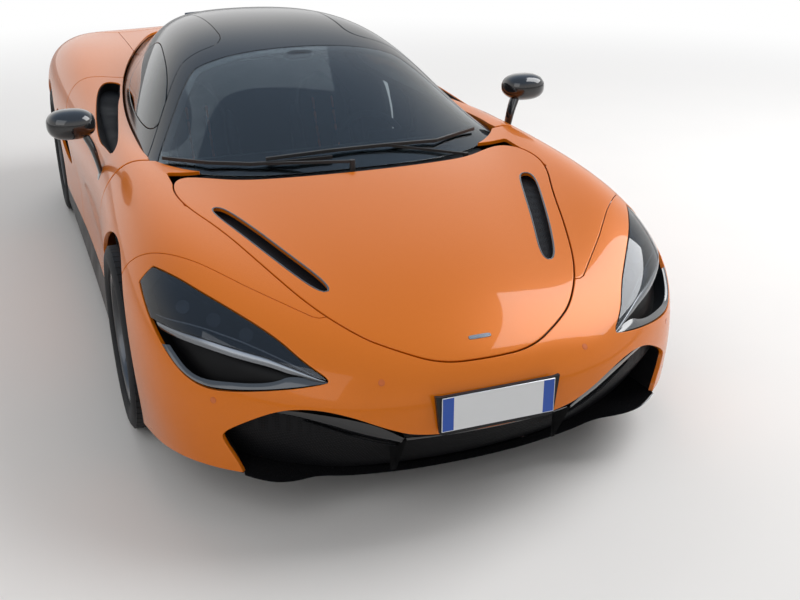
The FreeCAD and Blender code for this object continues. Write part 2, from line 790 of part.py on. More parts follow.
def skins(body, canopy):
    """The skins of the body by name, each cut out of the body's or the canopy's surface. Sided ones are the left."""
    foot = canopy_foot(canopy)
    shell = region(body, left_half, foot.outside(FOOT_GAP))
    front_arch = clear_of_wheel(FRONT_AXLE_Y, FRONT_TYRE_RADIUS)
    rear_arch = clear_of_wheel(REAR_AXLE_Y, REAR_TYRE_RADIUS)
    bonnet_line, wing_line = plan_outline(BONNET_EDGE), plan_outline(WING_EDGE)
    lamp_line = Outline([(x, z) for x, z in LAMP_EDGE], (0, 2), 2)
    intake, mesh, diffuser = front_outline(INTAKE_EDGE), front_outline(REAR_MESH_EDGE), front_outline(DIFFUSER_EDGE)
    side_intake = side_outline(SIDE_INTAKE_EDGE)
    door_front, door_rear, door_foot = behind(DOOR_FRONT, 2), ahead_of(DOOR_REAR, 2), above(SKIRT_TOP)
    found = {}

    front = region(shell, ahead_of([(0, .3)], 0))
    found["bonnet"] = region(front, bonnet_line.inside())
    round_bonnet = region(front, bonnet_line.outside())
    nose = region(round_bonnet, ahead_of(BUMPER_LINE, 0), front_arch)
    forward, above_nose = ahead_of([(0, NOSE_SPLIT)], 0), behind([(0, NOSE_SPLIT)], 0)
    nose_tip, nose_side = region(nose, forward), region(nose, above_nose)
    found["front_bumper"] = weld(region(nose_tip, intake.outside(), lamp_line.outside()), nose_side)
    found["intake"] = region(nose_tip, intake.inside(-INTAKE_LAP))
    found["lamp"] = region(nose_tip, lamp_line.inside(-INTAKE_LAP))
    fender = region(round_bonnet, behind(BUMPER_LINE, 0), ahead_of(FENDER_REAR, 2), front_arch, above(SKIRT_TOP))
    beside_scuttle = lambda p: max(FENDER_TONGUE_X - p[0], FENDER_TONGUE_Y - p[1])
    found["front_fender"] = region(fender, lambda p: min(FENDER_INNER_X - p[0], p[1] - along(-.04), beside_scuttle(p)))
    clear_of_arm = lambda p: min(abs(p[0]) - SCUTTLE_ARM_X, p[1] - SCUTTLE_ARM_Y)
    found["scuttle"] = region(body, left_half, ahead_of([(0, .3)], 0), bonnet_line.outside(), within(SCUTTLE_X),
                              behind([(0, -.02)], 0), ahead_of([(0, .13)], 0), clear_of_arm)
    door_corner = lambda p: min(DOOR_CORNER_X - p[0], DOOR_CORNER_Y - p[1])
    found["door"] = region(body, left_half, foot.outside(FIXED_GAP), door_front, door_rear, door_foot, door_corner)
    found["mirror_foot"] = region(found["door"], *oblong_cuts(MIRROR_FOOT_X, MIRROR_FOOT_Y, 24, 42))
    behind_door = region(shell, behind([(0, .5)], 0), behind(DOOR_REAR, 2), rear_arch, above(SKIRT_TOP))
    found["side_intake"] = region(behind_door, beyond(600), side_intake.inside(-INTAKE_LAP))
    quarter = region(behind_door, ahead_of(TAIL_LINE, 2), wing_outside(wing_line))
    found["rear_quarter"] = region(quarter, beyond(DECK_X), side_intake.outside())
    found["tail_deck"] = region(quarter, within(DECK_X))
    found["rear_wing"] = region(shell, above(WING_LOW), wing_line.inside())
    found["side_skirt"] = region(shell, behind([(0, 0)], 0), ahead_of([(0, 1)], 0), below(SKIRT_TOP), front_arch,
                                 rear_arch)
    tail = region(shell, behind(TAIL_LINE, 2), wing_outside(wing_line))
    found["rear_bumper"] = region(tail, mesh.outside(), diffuser.outside())
    found["rear_mesh"] = region(tail, mesh.inside())
    found["tail_lamp"] = region(tail, mesh.inside(LAMP_BAND[0]), lambda p: -LAMP_BAND[1] - mesh.value(p), beyond(330),
                                above(600))

    left_canopy = region(canopy, left_half)
    screen, rear_glass = plan_outline(WINDSCREEN_EDGE), plan_outline(REAR_GLASS_EDGE)
    door_top = Outline([(x, along(at)) for x, at in DOOR_TOP_EDGE], (0, 1), 2)
    side_glass = side_outline(SIDE_GLASS_EDGE)
    found["windscreen"] = region(left_canopy, screen.inside())
    top = region(left_canopy, door_rear, door_top.inside())
    found["door_frame"] = region(top, side_glass.outside())
    found["door_glass"] = region(top, side_glass.inside(LAP_GAP), lambda p: GLASS_FRONT_Y - p[1])
    found["roof"] = region(left_canopy, screen.outside(), door_rear, door_top.outside())
    found["rear_deck"] = region(left_canopy, behind(DOOR_REAR, 2), ahead_of([(0, ENGINE_LID_FRONT)], 0),
                                rear_glass.outside())
    found["rear_glass"] = region(left_canopy, rear_glass.inside())
    found["engine_cover"] = region(left_canopy, behind([(0, ENGINE_LID_FRONT)], 0))

    beside_roof = lambda p: door_rear(p) if abs(p[0]) > ROOF_SPLIT else 99.0
    bonnet_cut, wing_cut = bonnet_line.inside(), wing_outside(wing_line)
    fender_rear = behind(FENDER_REAR, 2)
    under_door = lambda p: door_foot(p) if door_front(p) < 0 and door_rear(p) < 0 else 99.0
    shut_lines = {"front_bumper": (bonnet_cut,), "front_fender": (bonnet_cut, fender_rear), "side_skirt": (under_door,),
                  "scuttle": (bonnet_cut,), "rear_quarter": (door_rear, wing_cut), "tail_deck": (wing_cut,),
                  "rear_bumper": (wing_cut,), "roof": (beside_roof, door_top.inside()), "rear_deck": (beside_roof,),
                  "door_frame": (door_rear, door_top.inside()), "door": (door_front, door_rear, door_foot, door_corner)}
    for name, skin in found.items():
        found[name] = inset(skin, shut_lines.get(name, ()), name in ("bonnet", "rear_wing"))
    return found


# Pieces
def block(x0, x1, y0, y1, z0, z1):
    return Part.makeBox(x1 - x0, y1 - y0, z1 - z0, Vector(x0, y0, z0))


def rod(start, end, radius):
    a, b = Vector(*start), Vector(*end)
    return Part.makeCylinder(radius, (b - a).Length, a, b - a)


def pipe(start, end, radius, bore):
    a, b = Vector(*start), Vector(*end)
    return rod(start, end, radius).cut(Part.makeCylinder(bore, (b - a).Length, a, b - a))


def profile_x(corners, x0, x1):
    """A (y, z) outline given a length along X."""
    wire = Part.makePolygon([Vector(x0, y, z) for y, z in corners + corners[:1]])
    return Part.Face(wire).extrude(Vector(x1 - x0, 0, 0))


def profile_y(corners, y0, y1):
    """An (x, z) outline given a length along Y."""
    wire = Part.makePolygon([Vector(x, y0, z) for x, z in corners + corners[:1]])
    return Part.Face(wire).extrude(Vector(0, y1 - y0, 0))


def profile_z(corners, z0, z1):
    """An (x, y) outline given a height."""
    wire = Part.makePolygon([Vector(x, y, z0) for x, y in corners + corners[:1]])
    return Part.Face(wire).extrude(Vector(0, 0, z1 - z0))


def ring(corners, centre):
    """An (x, radius) outline turned about the wheel's axis, which runs along X through centre."""
    cx, cy, cz = centre
    wire = Part.makePolygon([Vector(cx + x, cy, cz + r) for x, r in corners + corners[:1]])
    return Part.Face(wire).revolve(Vector(cx, cy, cz), Vector(1, 0, 0), 360)


def other_side(shape):
    return shape.mirror(Vector(0, 0, 0), Vector(1, 0, 0))


def both_sides(shapes):
    return shapes + [other_side(shape) for shape in shapes]


def save(name, shapes):
    shape = shapes[0] if len(shapes) == 1 else Part.makeCompound(shapes)
    shape.exportStep("parts/" + name + ".step")


def save_sides(name, shapes):
    save(name + "_left", shapes)
    save(name + "_right", [other_side(shape) for shape in shapes])


def tyre(centre, radius, width, rim_radius):
    """A hollow tyre: tread, shoulders, bulged sidewalls and beads."""
    half, seat = width / 2, rim_radius - TYRE_BEAD
    outer = [(-half + 22, seat), (-half + 22, rim_radius + 6), (-half + 8, rim_radius + 10), (-half, (radius + rim_radius) / 2),
             (-half + 5, radius - 16), (-half + 20, radius - 3), (0, radius)]
    inner = [(0, radius - TREAD_THICKNESS), (-half + 26, radius - TREAD_THICKNESS - 3), (-half + SIDEWALL_THICKNESS, (radius + rim_radius) / 2),
             (-half + 26, rim_radius + 6), (-half + 42, rim_radius + 4), (-half + 42, seat)]
    flip = [(-x, r) for x, r in reversed(outer[:-1])]
    flip_inner = [(-x, r) for x, r in reversed(inner)][:-1]
    return ring(outer + flip + flip_inner + inner, centre)


def rim(centre, side, width, rim_radius):
    """A rim with its barrel, twin spokes and hub. Its face looks to the given side."""
    half = width / 2 - 16
    seat = rim_radius - TYRE_BEAD - TYRE_FIT
    lip = rim_radius + 4
    barrel = ring([(-half, lip), (-half, seat - 13), (-half + 30, seat - 15), (half - 46, seat - 15), (half - 12, seat - 8),
                   (half, seat - 2), (half, lip), (half - 4, lip), (half - 4.4, seat), (-half + 4.4, seat),
                  (-half + 4, lip)], (0, 0, 0))
    face = half - 22
    hub_x = hub_face(width)
    hub = ring([(hub_x, HUB_BORE), (hub_x, HUB_RADIUS), (face - 34, HUB_RADIUS), (face - 24, HUB_RADIUS - 12),
                (face - 14, 0), (hub_x + HUB_DEPTH, 0), (hub_x + HUB_DEPTH, HUB_BORE)], (0, 0, 0))
    reach = seat - 10
    blade = Part.makeLoft([
        Part.makePolygon([Vector(face - 60, -17, 50), Vector(face - 26, -13, 50), Vector(face - 26, 9, 50),
                          Vector(face - 60, 12, 50), Vector(face - 60, -17, 50)]),
        Part.makePolygon([Vector(face - 40, -1, .62 * reach), Vector(face - 10, 2, .62 * reach), Vector(face - 10, 17, .62 * reach),
                          Vector(face - 40, 20, .62 * reach), Vector(face - 40, -1, .62 * reach)]),
        Part.makePolygon([Vector(face - 32, 10, reach), Vector(face + 4, 14, reach), Vector(face + 4, 31, reach),
                          Vector(face - 32, 36, reach), Vector(face - 32, 10, reach)])], True, True)
    whole = barrel.fuse([hub])
    spokes = []
    for k in range(SPOKE_COUNT):
        spoke = blade.copy() if k % 2 else blade.mirror(Vector(0, 0, 0), Vector(0, 1, 0))
        spoke.rotate(Vector(0, 0, 0), Vector(1, 0, 0), 360.0 * (k - k % 2) / SPOKE_COUNT)
        spokes.append(spoke)
    disc_x = hub_x - DISC_OFFSET
    disc = ring([(disc_x - DISC_THICKNESS, 96), (disc_x - DISC_THICKNESS, DISC_RADIUS), (disc_x, DISC_RADIUS), (disc_x, 104),
                 (hub_x + 8, 104), (hub_x + 8, HUB_RADIUS - 4), (hub_x, HUB_RADIUS - 4), (hub_x, 96)], (0, 0, 0))
    whole = whole.fuse(spokes + [disc])
    if side < 0:
        whole = other_side(whole)
    whole.translate(Vector(*centre))
    return whole


def upright(side, centre, width, carries_caliper=True):
    """The knuckle behind a wheel: hub spindle, body, and a pin above and below on the steering axis."""
    hub_x = hub_face(width)
    pin_x = hub_x - PIN_INSET
    body_end = hub_x - DISC_THICKNESS - DISC_OFFSET - 10
    cz = centre[2]
    spindle = rod((body_end - 6, 0, 0), (hub_x + HUB_DEPTH - 5, 0, 0), HUB_BORE - RUN_GAP)
    boss = rod((pin_x - 22, 0, 0), (body_end, 0, 0), 58)
    arm = profile_x([(-30, 0), (-22, UPPER_JOINT_Z - cz - JOINT_HALF - RUN_GAP), (22, UPPER_JOINT_Z - cz - JOINT_HALF - RUN_GAP),
                     (30, 0), (26, LOWER_JOINT_Z - cz + JOINT_HALF + RUN_GAP), (-26, LOWER_JOINT_Z - cz + JOINT_HALF + RUN_GAP)],
                    pin_x - 20, pin_x + 20)
    pin = rod((pin_x, 0, LOWER_JOINT_Z - cz - JOINT_HALF), (pin_x, 0, UPPER_JOINT_Z - cz + JOINT_HALF), JOINT_PIN)
    bracket = profile_x([(0, -52), (CALIPER_INNER + 40, -46), (CALIPER_INNER + 40, 46), (0, 52)], pin_x - 4, body_end - CALIPER_SIDE + 10 - RUN_GAP)
    shape = spindle.fuse([boss, arm, pin, bracket])
    if side < 0:
        shape = other_side(shape)
    shape.translate(Vector(*centre))
    return shape


def caliper(side, centre, width):
    """A brake caliper that straddles the disc behind the axle."""
    hub_x = hub_face(width)
    disc_out = hub_x - DISC_OFFSET
    disc_in = disc_out - DISC_THICKNESS
    outer = CALIPER_OUTER
    whole = ring([(disc_in - CALIPER_SIDE, CALIPER_INNER), (disc_in - CALIPER_SIDE, outer - 8), (disc_in - 14, outer), (disc_out + 14, outer),
                  (disc_out + CALIPER_SIDE, outer - 8), (disc_out + CALIPER_SIDE, CALIPER_INNER)], (0, 0, 0))
    slot = ring([(disc_in - 3, 0), (disc_in - 3, DISC_RADIUS + 4), (disc_out + 3, DISC_RADIUS + 4), (disc_out + 3, 0)],
                (0, 0, 0))
    wedge = profile_x([(0, 0), (300, -170), (300, 170)], -200, 200)
    shape = whole.cut(slot).common(wedge)
    if side < 0:
        shape = other_side(shape)
    shape.translate(Vector(*centre))
    return shape


def hub_face(width):
    return width / 2 - 16 - 22 - 74


def wishbone(pin_x, y, z, inner_x):
    """An A-shaped arm: an eye round the knuckle's pin and two legs to bushes beside the body."""
    spread = (pin_x - inner_x) * math.tan(math.radians(LEG_ANGLE))
    eye = rod((pin_x, y, z - JOINT_HALF), (pin_x, y, z + JOINT_HALF), EYE_RADIUS)
    parts = []
    for way in (-1, 1):
        end = (inner_x + BUSH_RADIUS + FIXED_GAP, y + way * spread, z)
        parts.append(rod((pin_x - 12, y + way * 4, z), end, LEG_RADIUS))
        parts.append(rod((end[0], end[1] - BUSH_HALF, z), (end[0], end[1] + BUSH_HALF, z), BUSH_RADIUS))
    bore = rod((pin_x, y, z - 60), (pin_x, y, z + 60), JOINT_PIN + RUN_GAP)
    knuckle_room = block(pin_x - 30, pin_x + 30, y - 30, y + 30, z + JOINT_HALF, z + 80)
    return eye.fuse(parts).cut(bore.fuse([knuckle_room]))


def corner_suspension(y, wheel_z, wheel_x, width, inner_x, top_z):
    """Both wishbones of one wheel and the coil-over unit between them."""
    pin_x = wheel_x + hub_face(width) - PIN_INSET
    arms = [wishbone(pin_x, y, LOWER_JOINT_Z, inner_x), wishbone(pin_x, y, UPPER_JOINT_Z, inner_x)]
    low = (inner_x + .42 * (pin_x - inner_x), y, LOWER_JOINT_Z + LEG_RADIUS + 14)
    high = (inner_x + DAMPER_RADIUS + FIXED_GAP, y, top_z)
    seat = block(low[0] - 22, low[0] + 22, y - 60, y + 60, LOWER_JOINT_Z - 6, LOWER_JOINT_Z + 6)
    body = rod(low, high, 13)
    a, b = Vector(*low), Vector(*high)
    spring = rod(tuple(a + (b - a) * .28), tuple(a + (b - a) * .82), DAMPER_RADIUS)
    eye = rod((high[0], y - 16, high[2]), (high[0], y + 16, high[2]), DAMPER_RADIUS)
    foot = rod((low[0], y, LOWER_JOINT_Z), low, 13)
    arms[0] = arms[0].fuse([seat])
    damper = body.fuse([spring, eye, foot]).cut(seat)
    return [arms[0].fuse([damper]), arms[1]]


def bent_rod(places, radius):
    """A rod through the places, with a ball at each bend."""
    points = [Vector(*p) for p in places]
    pieces = [rod(a, b, radius) for a, b in zip(points, points[1:])]
    return pieces[0].fuse(pieces[1:] + [Part.makeSphere(radius + 0.4, p) for p in points[1:-1]])


def door_hinge():
    """Both halves of the left door's slanted hinge: the bracket with its pin, and the swan neck with its bore."""
    start, rear = Vector(*DOOR_AXIS_FRONT), Vector(*DOOR_AXIS_REAR)
    way = (start - rear).normalize()
    low, end = start + way * RUN_GAP, start + way * HINGE_LENGTH
    top = start - way * HINGE_NECK
    bracket = rod(low, end, HINGE_RADIUS).fuse([
        rod(top + way * 4, end, HINGE_PIN), bent_rod([
            start + way * 28, (806, FRONT_AXLE_Y + 391.5, 640), (750, FRONT_BULKHEAD_Y + 70, PILLAR_TOP - 10)], 11)])
    bends = [(x, FRONT_AXLE_Y + y, z) for x, y, z in DOOR_NECK]
    neck = bent_rod([top + way * HINGE_NECK / 2] + bends, 9)
    knuckle = rod(top, start, HINGE_RADIUS - 1)
    return bracket, knuckle.fuse([neck]).cut(rod(top - way, low, HINGE_PIN + RUN_GAP))


def bonnet_hinge(axis_z, patch_z):
    """Both halves of the bonnet's left hinge: the bracket with its pin, and the arm with its bore."""
    x, y = BONNET_HINGE_X, BONNET_HINGE_Y
    bracket = rod((x + 10 + RUN_GAP, y, axis_z), (x + 30, y, axis_z), HINGE_RADIUS - 1).fuse([
        rod((x - 8, y, axis_z), (x + 30, y, axis_z), HINGE_PIN),
        profile_x([(y - 7, axis_z - 8), (y - 7, axis_z + 6), (y + 10, axis_z + 8), (FRONT_BULKHEAD_Y + 60, 692),
                   (FRONT_BULKHEAD_Y + 60, 650), (FRONT_BULKHEAD_Y + 25, 650)], x + 12, x + 28)])
    near, far = BONNET_PATCH_Y + 30, BONNET_PATCH_Y - 25
    arm = rod((x - 10, y, axis_z), (x + 10, y, axis_z), HINGE_RADIUS - 1).fuse([
        profile_x([(y, axis_z - 9), (y, axis_z + 9), (near, patch_z), (far, patch_z), (far, patch_z - 14),
                   (near, patch_z - 16)], x - 7, x + 7)])
    return bracket, arm.cut(rod((x - 11, y, axis_z), (x + 11, y, axis_z), HINGE_PIN + RUN_GAP))


def tub(cowl_top, brackets):
    """The hollow middle of the car: floor, sills, bulkheads, pillars, and the box under the bonnet."""
    front, rear = FRONT_BULKHEAD_Y, REAR_BULKHEAD_Y
    floor = block(-FLOOR_X, FLOOR_X, front, rear, TUB_BOTTOM, TUB_BOTTOM + FLOOR_THICKNESS)
    sill = profile_y([(FLOOR_X - 20, TUB_BOTTOM), (SILL_X - 30, TUB_BOTTOM), (SILL_X, TUB_BOTTOM + 30), (SILL_X, 330),
                      (SILL_X - 40, 372), (FLOOR_X + 30, 372), (FLOOR_X - 20, 300)], front + 130, rear)
    pillar = profile_x([(front + 45, TUB_BOTTOM), (front + 150, TUB_BOTTOM), (front + 120, PILLAR_TOP),
                        (front + 45, PILLAR_TOP)], FLOOR_X - 20, PILLAR_X)
    firewall = block(-FLOOR_X, FLOOR_X, front, front + 24, TUB_BOTTOM, SCUTTLE_BEAM_Z)
    beam = block(-BEAM_X, BEAM_X, front + 24, front + 70, SCUTTLE_BEAM_Z - 70, SCUTTLE_BEAM_Z)
    back = profile_y([(-FLOOR_X - 60, TUB_BOTTOM), (FLOOR_X + 60, TUB_BOTTOM), (FLOOR_X + 60, 640), (440, REAR_BULKHEAD_TOP),
                      (-440, REAR_BULKHEAD_TOP), (-FLOOR_X - 60, 640)], rear - 30, rear)
    tunnel = profile_y([(-TUNNEL_X, TUB_BOTTOM), (TUNNEL_X, TUB_BOTTOM), (TUNNEL_X - 20, 300), (-TUNNEL_X + 20, 300)],
                       front, rear)
    nose = block(-FRONT_BOX_X, FRONT_BOX_X, BAY_FRONT_Y - BAY_WALL, front, NOSE_BOTTOM, BAY_FLOOR_Z)
    walls = block(-BAY_X - BAY_WALL, BAY_X + BAY_WALL, BAY_FRONT_Y - BAY_WALL, front, BAY_FLOOR_Z, BAY_TOP_Z)
    wall_y = COWL_Y + BAY_WALL / 2
    bay = block(-BAY_X, BAY_X, BAY_FRONT_Y, wall_y - BAY_WALL, BAY_FLOOR_Z, BAY_TOP_Z + 10)
    pocket = block(-BAY_X, BAY_X, wall_y, front - BAY_WALL, BAY_FLOOR_Z, BAY_TOP_Z + 10)
    cowl = block(-BAY_X, BAY_X, wall_y - BAY_WALL, wall_y, BAY_FLOOR_Z, cowl_top)
    tower = profile_x([(FRONT_AXLE_Y - 160, BAY_FLOOR_Z), (FRONT_AXLE_Y + 160, BAY_FLOOR_Z), (FRONT_AXLE_Y + 120, BAY_TOP_Z),
                       (FRONT_AXLE_Y - 120, BAY_TOP_Z)], BAY_X + BAY_WALL / 2, FRONT_BOX_X)
    pieces = both_sides([sill, pillar, tower] + brackets)
    return floor.fuse(pieces + [firewall, beam, back, tunnel, nose, walls, cowl]).cut(bay.fuse([pocket]))


def rear_frame(post_top):
    """Rails beside the engine, with the beam behind the rear bumper."""
    start = REAR_BULKHEAD_Y + FIXED_GAP
    rail = profile_x([(start, REAR_RAIL_LOW), (RAIL_BEND_Y, REAR_RAIL_LOW), (BEAM_FRONT_Y, 330),
                      (BEAM_FRONT_Y, REAR_RAIL_HIGH), (start, REAR_RAIL_HIGH)], REAR_RAIL_X - 50, REAR_RAIL_X)
    windows = [block(REAR_RAIL_X - 60, REAR_RAIL_X + 10, y0, y1, REAR_RAIL_LOW + 120, REAR_RAIL_HIGH - 60)
               for y0, y1 in ((REAR_BULKHEAD_Y + 70, REAR_AXLE_Y - 198.5), (REAR_AXLE_Y - 60, REAR_AXLE_Y + 60),
                              (RAIL_BEND_Y - 40, BEAM_FRONT_Y - 220))]
    tower = block(REAR_RAIL_X - 50, REAR_RAIL_X, REAR_AXLE_Y - 110, REAR_AXLE_Y + 110, REAR_RAIL_HIGH - 1, 620)
    rail = rail.fuse([tower]).cut(windows[0].fuse(windows[1:]))
    beam = block(-560, 560, BEAM_FRONT_Y, BEAM_FRONT_Y + BEAM_DEPTH, 360, REAR_RAIL_HIGH)
    cross = block(-REAR_RAIL_X + 20, REAR_RAIL_X - 20, BEAM_FRONT_Y - 170, BEAM_FRONT_Y - 130, REAR_RAIL_HIGH - 60,
                  REAR_RAIL_HIGH)
    posts = [rod((x, WING_POST_Y, REAR_RAIL_HIGH - 20), (x, WING_POST_Y, post_top), 16)
             for x in (-WING_POST_X, WING_POST_X)]
    feet = block(-330, 330, WING_POST_Y - 25, WING_POST_Y + 25, REAR_RAIL_HIGH - 60, REAR_RAIL_HIGH)
    return beam.fuse(both_sides([rail]) + [cross, feet] + posts)


def engine_block():
    start, joint = REAR_BULKHEAD_Y + FIXED_GAP, REAR_AXLE_Y + 81.5
    low = block(-ENGINE_X, ENGINE_X, start, joint, 150, 430)
    high = profile_y([(-ENGINE_X, 429), (ENGINE_X, 429), (200, 640), (-200, 640)], start, joint - 160)
    gearbox = block(-GEARBOX_X, GEARBOX_X, joint - 1, GEARBOX_END_Y, 235, 420)
    return low.fuse([high, gearbox])


def wheel_liner(axle_y, wheel_z, radius, inner_x, outer_x):
    """The open bowl over a wheel, with its wall towards the middle of the car."""
    shell = Part.makeCylinder(radius + LINER_THICKNESS, outer_x - inner_x, Vector(inner_x, axle_y, wheel_z), Vector(1, 0, 0))
    room = Part.makeCylinder(radius, outer_x - inner_x, Vector(inner_x + LINER_THICKNESS, axle_y, wheel_z), Vector(1, 0, 0))
    under = block(inner_x - 1, outer_x + 1, axle_y - 2 * radius, axle_y + 2 * radius, -radius, TRAY_TOP)
    doorway = block(inner_x - 1, inner_x + LINER_THICKNESS + 1, axle_y - 210, axle_y + 210, LOWER_JOINT_Z - 60, wheel_z + 290)
    return shell.cut(room.fuse([under, doorway]))


def seat(x):
    """One bucket seat: cushion, back with side wings, and its runners."""
    side = [(-150, 205), (330, 175), (560, 700), (585, 860), (545, 872), (500, 760), (300, 300), (120, 262), (-150, 300)]
    middle = profile_x(side, x - 140, x + 140)
    wing_side = [(-150, 205), (330, 175), (560, 700), (500, 730), (420, 640), (290, 400), (100, 340), (-150, 345)]
    wings = [profile_x(wing_side, x - 195, x - 139), profile_x(wing_side, x + 139, x + 195)]
    runners = [block(x - 150, x - 110, -80, 260, SEAT_FLOOR_Z + FIXED_GAP, 215),
               block(x + 110, x + 150, -80, 260, SEAT_FLOOR_Z + FIXED_GAP, 215)]
    return middle.fuse(wings + runners)


def dashboard():
    side = [(FRONT_BULKHEAD_Y + 70 + FIXED_GAP, 640), (-640, 742), (-560, 762), (-420, 730), (-380, 660), (-440, 560), (-560, 520), (-700, 560)]
    top = profile_x(side, -DASH_X, DASH_X)
    console = profile_x([(-560, 540), (-430, 560), (-120, 372), (420, 345), (420, 300.3), (-560, 300.3)], -85, 85)
    return top.fuse([console]).cut(steering_place(rod((0, -100, 0), (0, -COLUMN_END - RUN_GAP, 0), COLUMN_RADIUS + RUN_GAP)))


def steering_place(shape):
    """A shape in the steering wheel's own frame, moved to its place in front of the left seat."""
    shape.rotate(Vector(0, 0, 0), Vector(1, 0, 0), -STEERING_TILT)
    shape.translate(Vector(DRIVER_X, STEERING_Y, STEERING_Z))
    return shape


def steering_wheel():
    """The steering wheel on its column."""
    wheel = Part.makeTorus(172, 15, Vector(0, 0, 0), Vector(0, -1, 0))
    hub = rod((0, -14, 0), (0, 22, 0), 55)
    spokes = [block(-170, 170, -6, 8, -16, 16), block(-16, 16, -6, 8, -170, 0)]
    column = rod((0, -14, 0), (0, -COLUMN_END, 0), COLUMN_RADIUS)
    return steering_place(wheel.fuse([hub, column] + spokes))


def undertray():
    """The flat floor, cut away round the wheels, rising towards the tail."""
    edge = [(0, NOSE_Y + 90), (560, NOSE_Y + 150), (740, NOSE_Y + 300), (740, FRONT_AXLE_Y - 410), (530, FRONT_AXLE_Y - 410),
            (530, FRONT_AXLE_Y + 410), (TRAY_X, FRONT_AXLE_Y + 410), (TRAY_X, REAR_AXLE_Y - 430),
            (600, REAR_AXLE_Y - 430), (600, REAR_AXLE_Y + 150), (0, REAR_AXLE_Y + 150)]
    whole = edge + [(-x, y) for x, y in reversed(edge[1:-1])]
    return profile_z(whole, GROUND_CLEARANCE, GROUND_CLEARANCE + TRAY_THICKNESS)


def splitter():
    """The lip under the nose, with its upturned outer ends."""
    edge = [(0, NOSE_Y + 22), (330, NOSE_Y + 38), (600, NOSE_Y + 120), (780, NOSE_Y + 265), (850, NOSE_Y + 420),
            (800, NOSE_Y + 520), (560, NOSE_Y + 400), (0, NOSE_Y + 330)]
    whole = edge + [(-x, y) for x, y in reversed(edge[1:-1])]
    return profile_z(whole, TRAY_TOP, TRAY_TOP + SPLITTER_THICKNESS)


def diffuser():
    """The rising floor under the tail with its fins."""
    start, end = REAR_AXLE_Y + 150 + FIXED_GAP, TAIL_Y - 45
    low, high = GROUND_CLEARANCE, 300
    ramp = profile_x([(start, low), (start, low + 8), (end, high + 8), (end, high)], -DIFFUSER_X, DIFFUSER_X)
    fin = [(start + 60, low + 12), (start + 60, low + 4), (end - 10, low + 60), (end, low + 76), (end, high + 4)]
    fins = [profile_x(fin, x - 5, x + 5) for x in (-580, -400, -200, 200, 400, 580)]
    hanger = [block(x - 30, x + 30, BEAM_FRONT_Y + 5, BEAM_FRONT_Y + BEAM_DEPTH - 5, 230, 360 - FIXED_GAP)
              for x in (-420, 420)]
    return ramp.fuse(fins + hanger)


def exhausts():
    """Two high tailpipes, run back from the engine."""
    pipes = []
    for x in (-EXHAUST_X, EXHAUST_X):
        pipes.append(pipe((x, EXHAUST_BOX_Y + 80, EXHAUST_Z), (x, TAIL_Y - 70, EXHAUST_Z), EXHAUST_RADIUS,
                          EXHAUST_RADIUS - 4))
    box = block(-260, 260, EXHAUST_BOX_Y, EXHAUST_BOX_Y + 81, REAR_RAIL_HIGH + FIXED_GAP, EXHAUST_Z + 70)
    return box.fuse(pipes)


def oblong(centre, half_x, half_y):
    """A level rectangle about a point, as a wire."""
    x, y, z = centre
    corners = [Vector(x + i * half_x, y + j * half_y, z) for i, j in ((-1, -1), (1, -1), (1, 1), (-1, 1))]
    return Part.makePolygon(corners + corners[:1])


def mirror(foot, foot_z):
    """The left mirror: its foot on the door, the stalk and the shell."""
    sections = []
    for along_y, half_x, half_z in ((-64, 40, 24), (-34, 82, 50), (8, 95, 61), (60, 91, 58)):
        ring_points = []
        for k in range(12):
            angle = 2 * math.pi * k / 12
            ring_points.append(Vector(MIRROR_X + half_x * math.cos(angle), MIRROR_Y + along_y,
                                      MIRROR_Z + half_z * math.sin(angle)))
        sections.append(Part.makePolygon(ring_points + ring_points[:1]))
    shell = Part.makeLoft(sections, True, True)
    stalk = Part.makeLoft([oblong((MIRROR_FOOT_X, MIRROR_FOOT_Y, foot_z), 9, 30),
                           oblong((MIRROR_X - 28, MIRROR_Y + 4, MIRROR_Z - 40), 15, 26)], True, True)
    return shell.fuse([stalk] + foot)


def number_plate():
    """A blank plate in its holder, against the nose."""
    plate = block(-PLATE_X, PLATE_X, NOSE_Y, NOSE_Y + 6, PLATE_LOW, PLATE_HIGH)
    holder = block(-PLATE_X - 18, PLATE_X + 18, NOSE_Y + 6 + FIXED_GAP, NOSE_Y + PLATE_STAND - FIXED_GAP, PLATE_LOW - 14,
                   PLATE_HIGH + 6)
    return [plate, holder]


def upright_square(centre, half):
    """A square across the car's width, as a wire."""
    x, y, z = centre
    corners = [Vector(x, y + i * half, z + j * half) for i, j in ((-1, -1), (1, -1), (1, 1), (-1, 1))]
    return Part.makePolygon(corners + corners[:1])


def wiper(canopy, scuttle_top, pivot_x, height, tip_x, end_x, rise):
    """A parked wiper: the spindle on the scuttle, the arm and the blade along the glass."""
    def foot_y(x):
        return along(step_line(SCREEN_FOOT, abs(x)))

    def on_glass(x):
        return Vector(x, foot_y(x) + rise, height_at(canopy, x, foot_y(x) + rise) + 19)

    places = [on_glass(end_x + (tip_x - end_x) * k / 4) for k in range(5)]
    blade = Part.makeLoft([upright_square(p, 6) for p in places], True, True)
    y = foot_y(pivot_x) - 32
    ground = max(height_at(scuttle_top, pivot_x + i, y + j) for i, j in ((-11, -11), (11, -11), (11, 11), (-11, 11)))
    head = Vector(pivot_x, y, ground + height)
    spindle = rod((pivot_x, y, ground + FIXED_GAP), head, 11)
    arm = Part.makeLoft([upright_square(Vector(head.x, head.y, head.z - 6), 5), upright_square(places[2], 5)], True, True)
    return spindle.fuse([blade, arm])


def offset(mesh, depth):
    points, normals, faces = mesh
    return [tuple(p[k] - n[k] * depth for k in range(3)) for p, n in zip(points, normals)], normals, faces


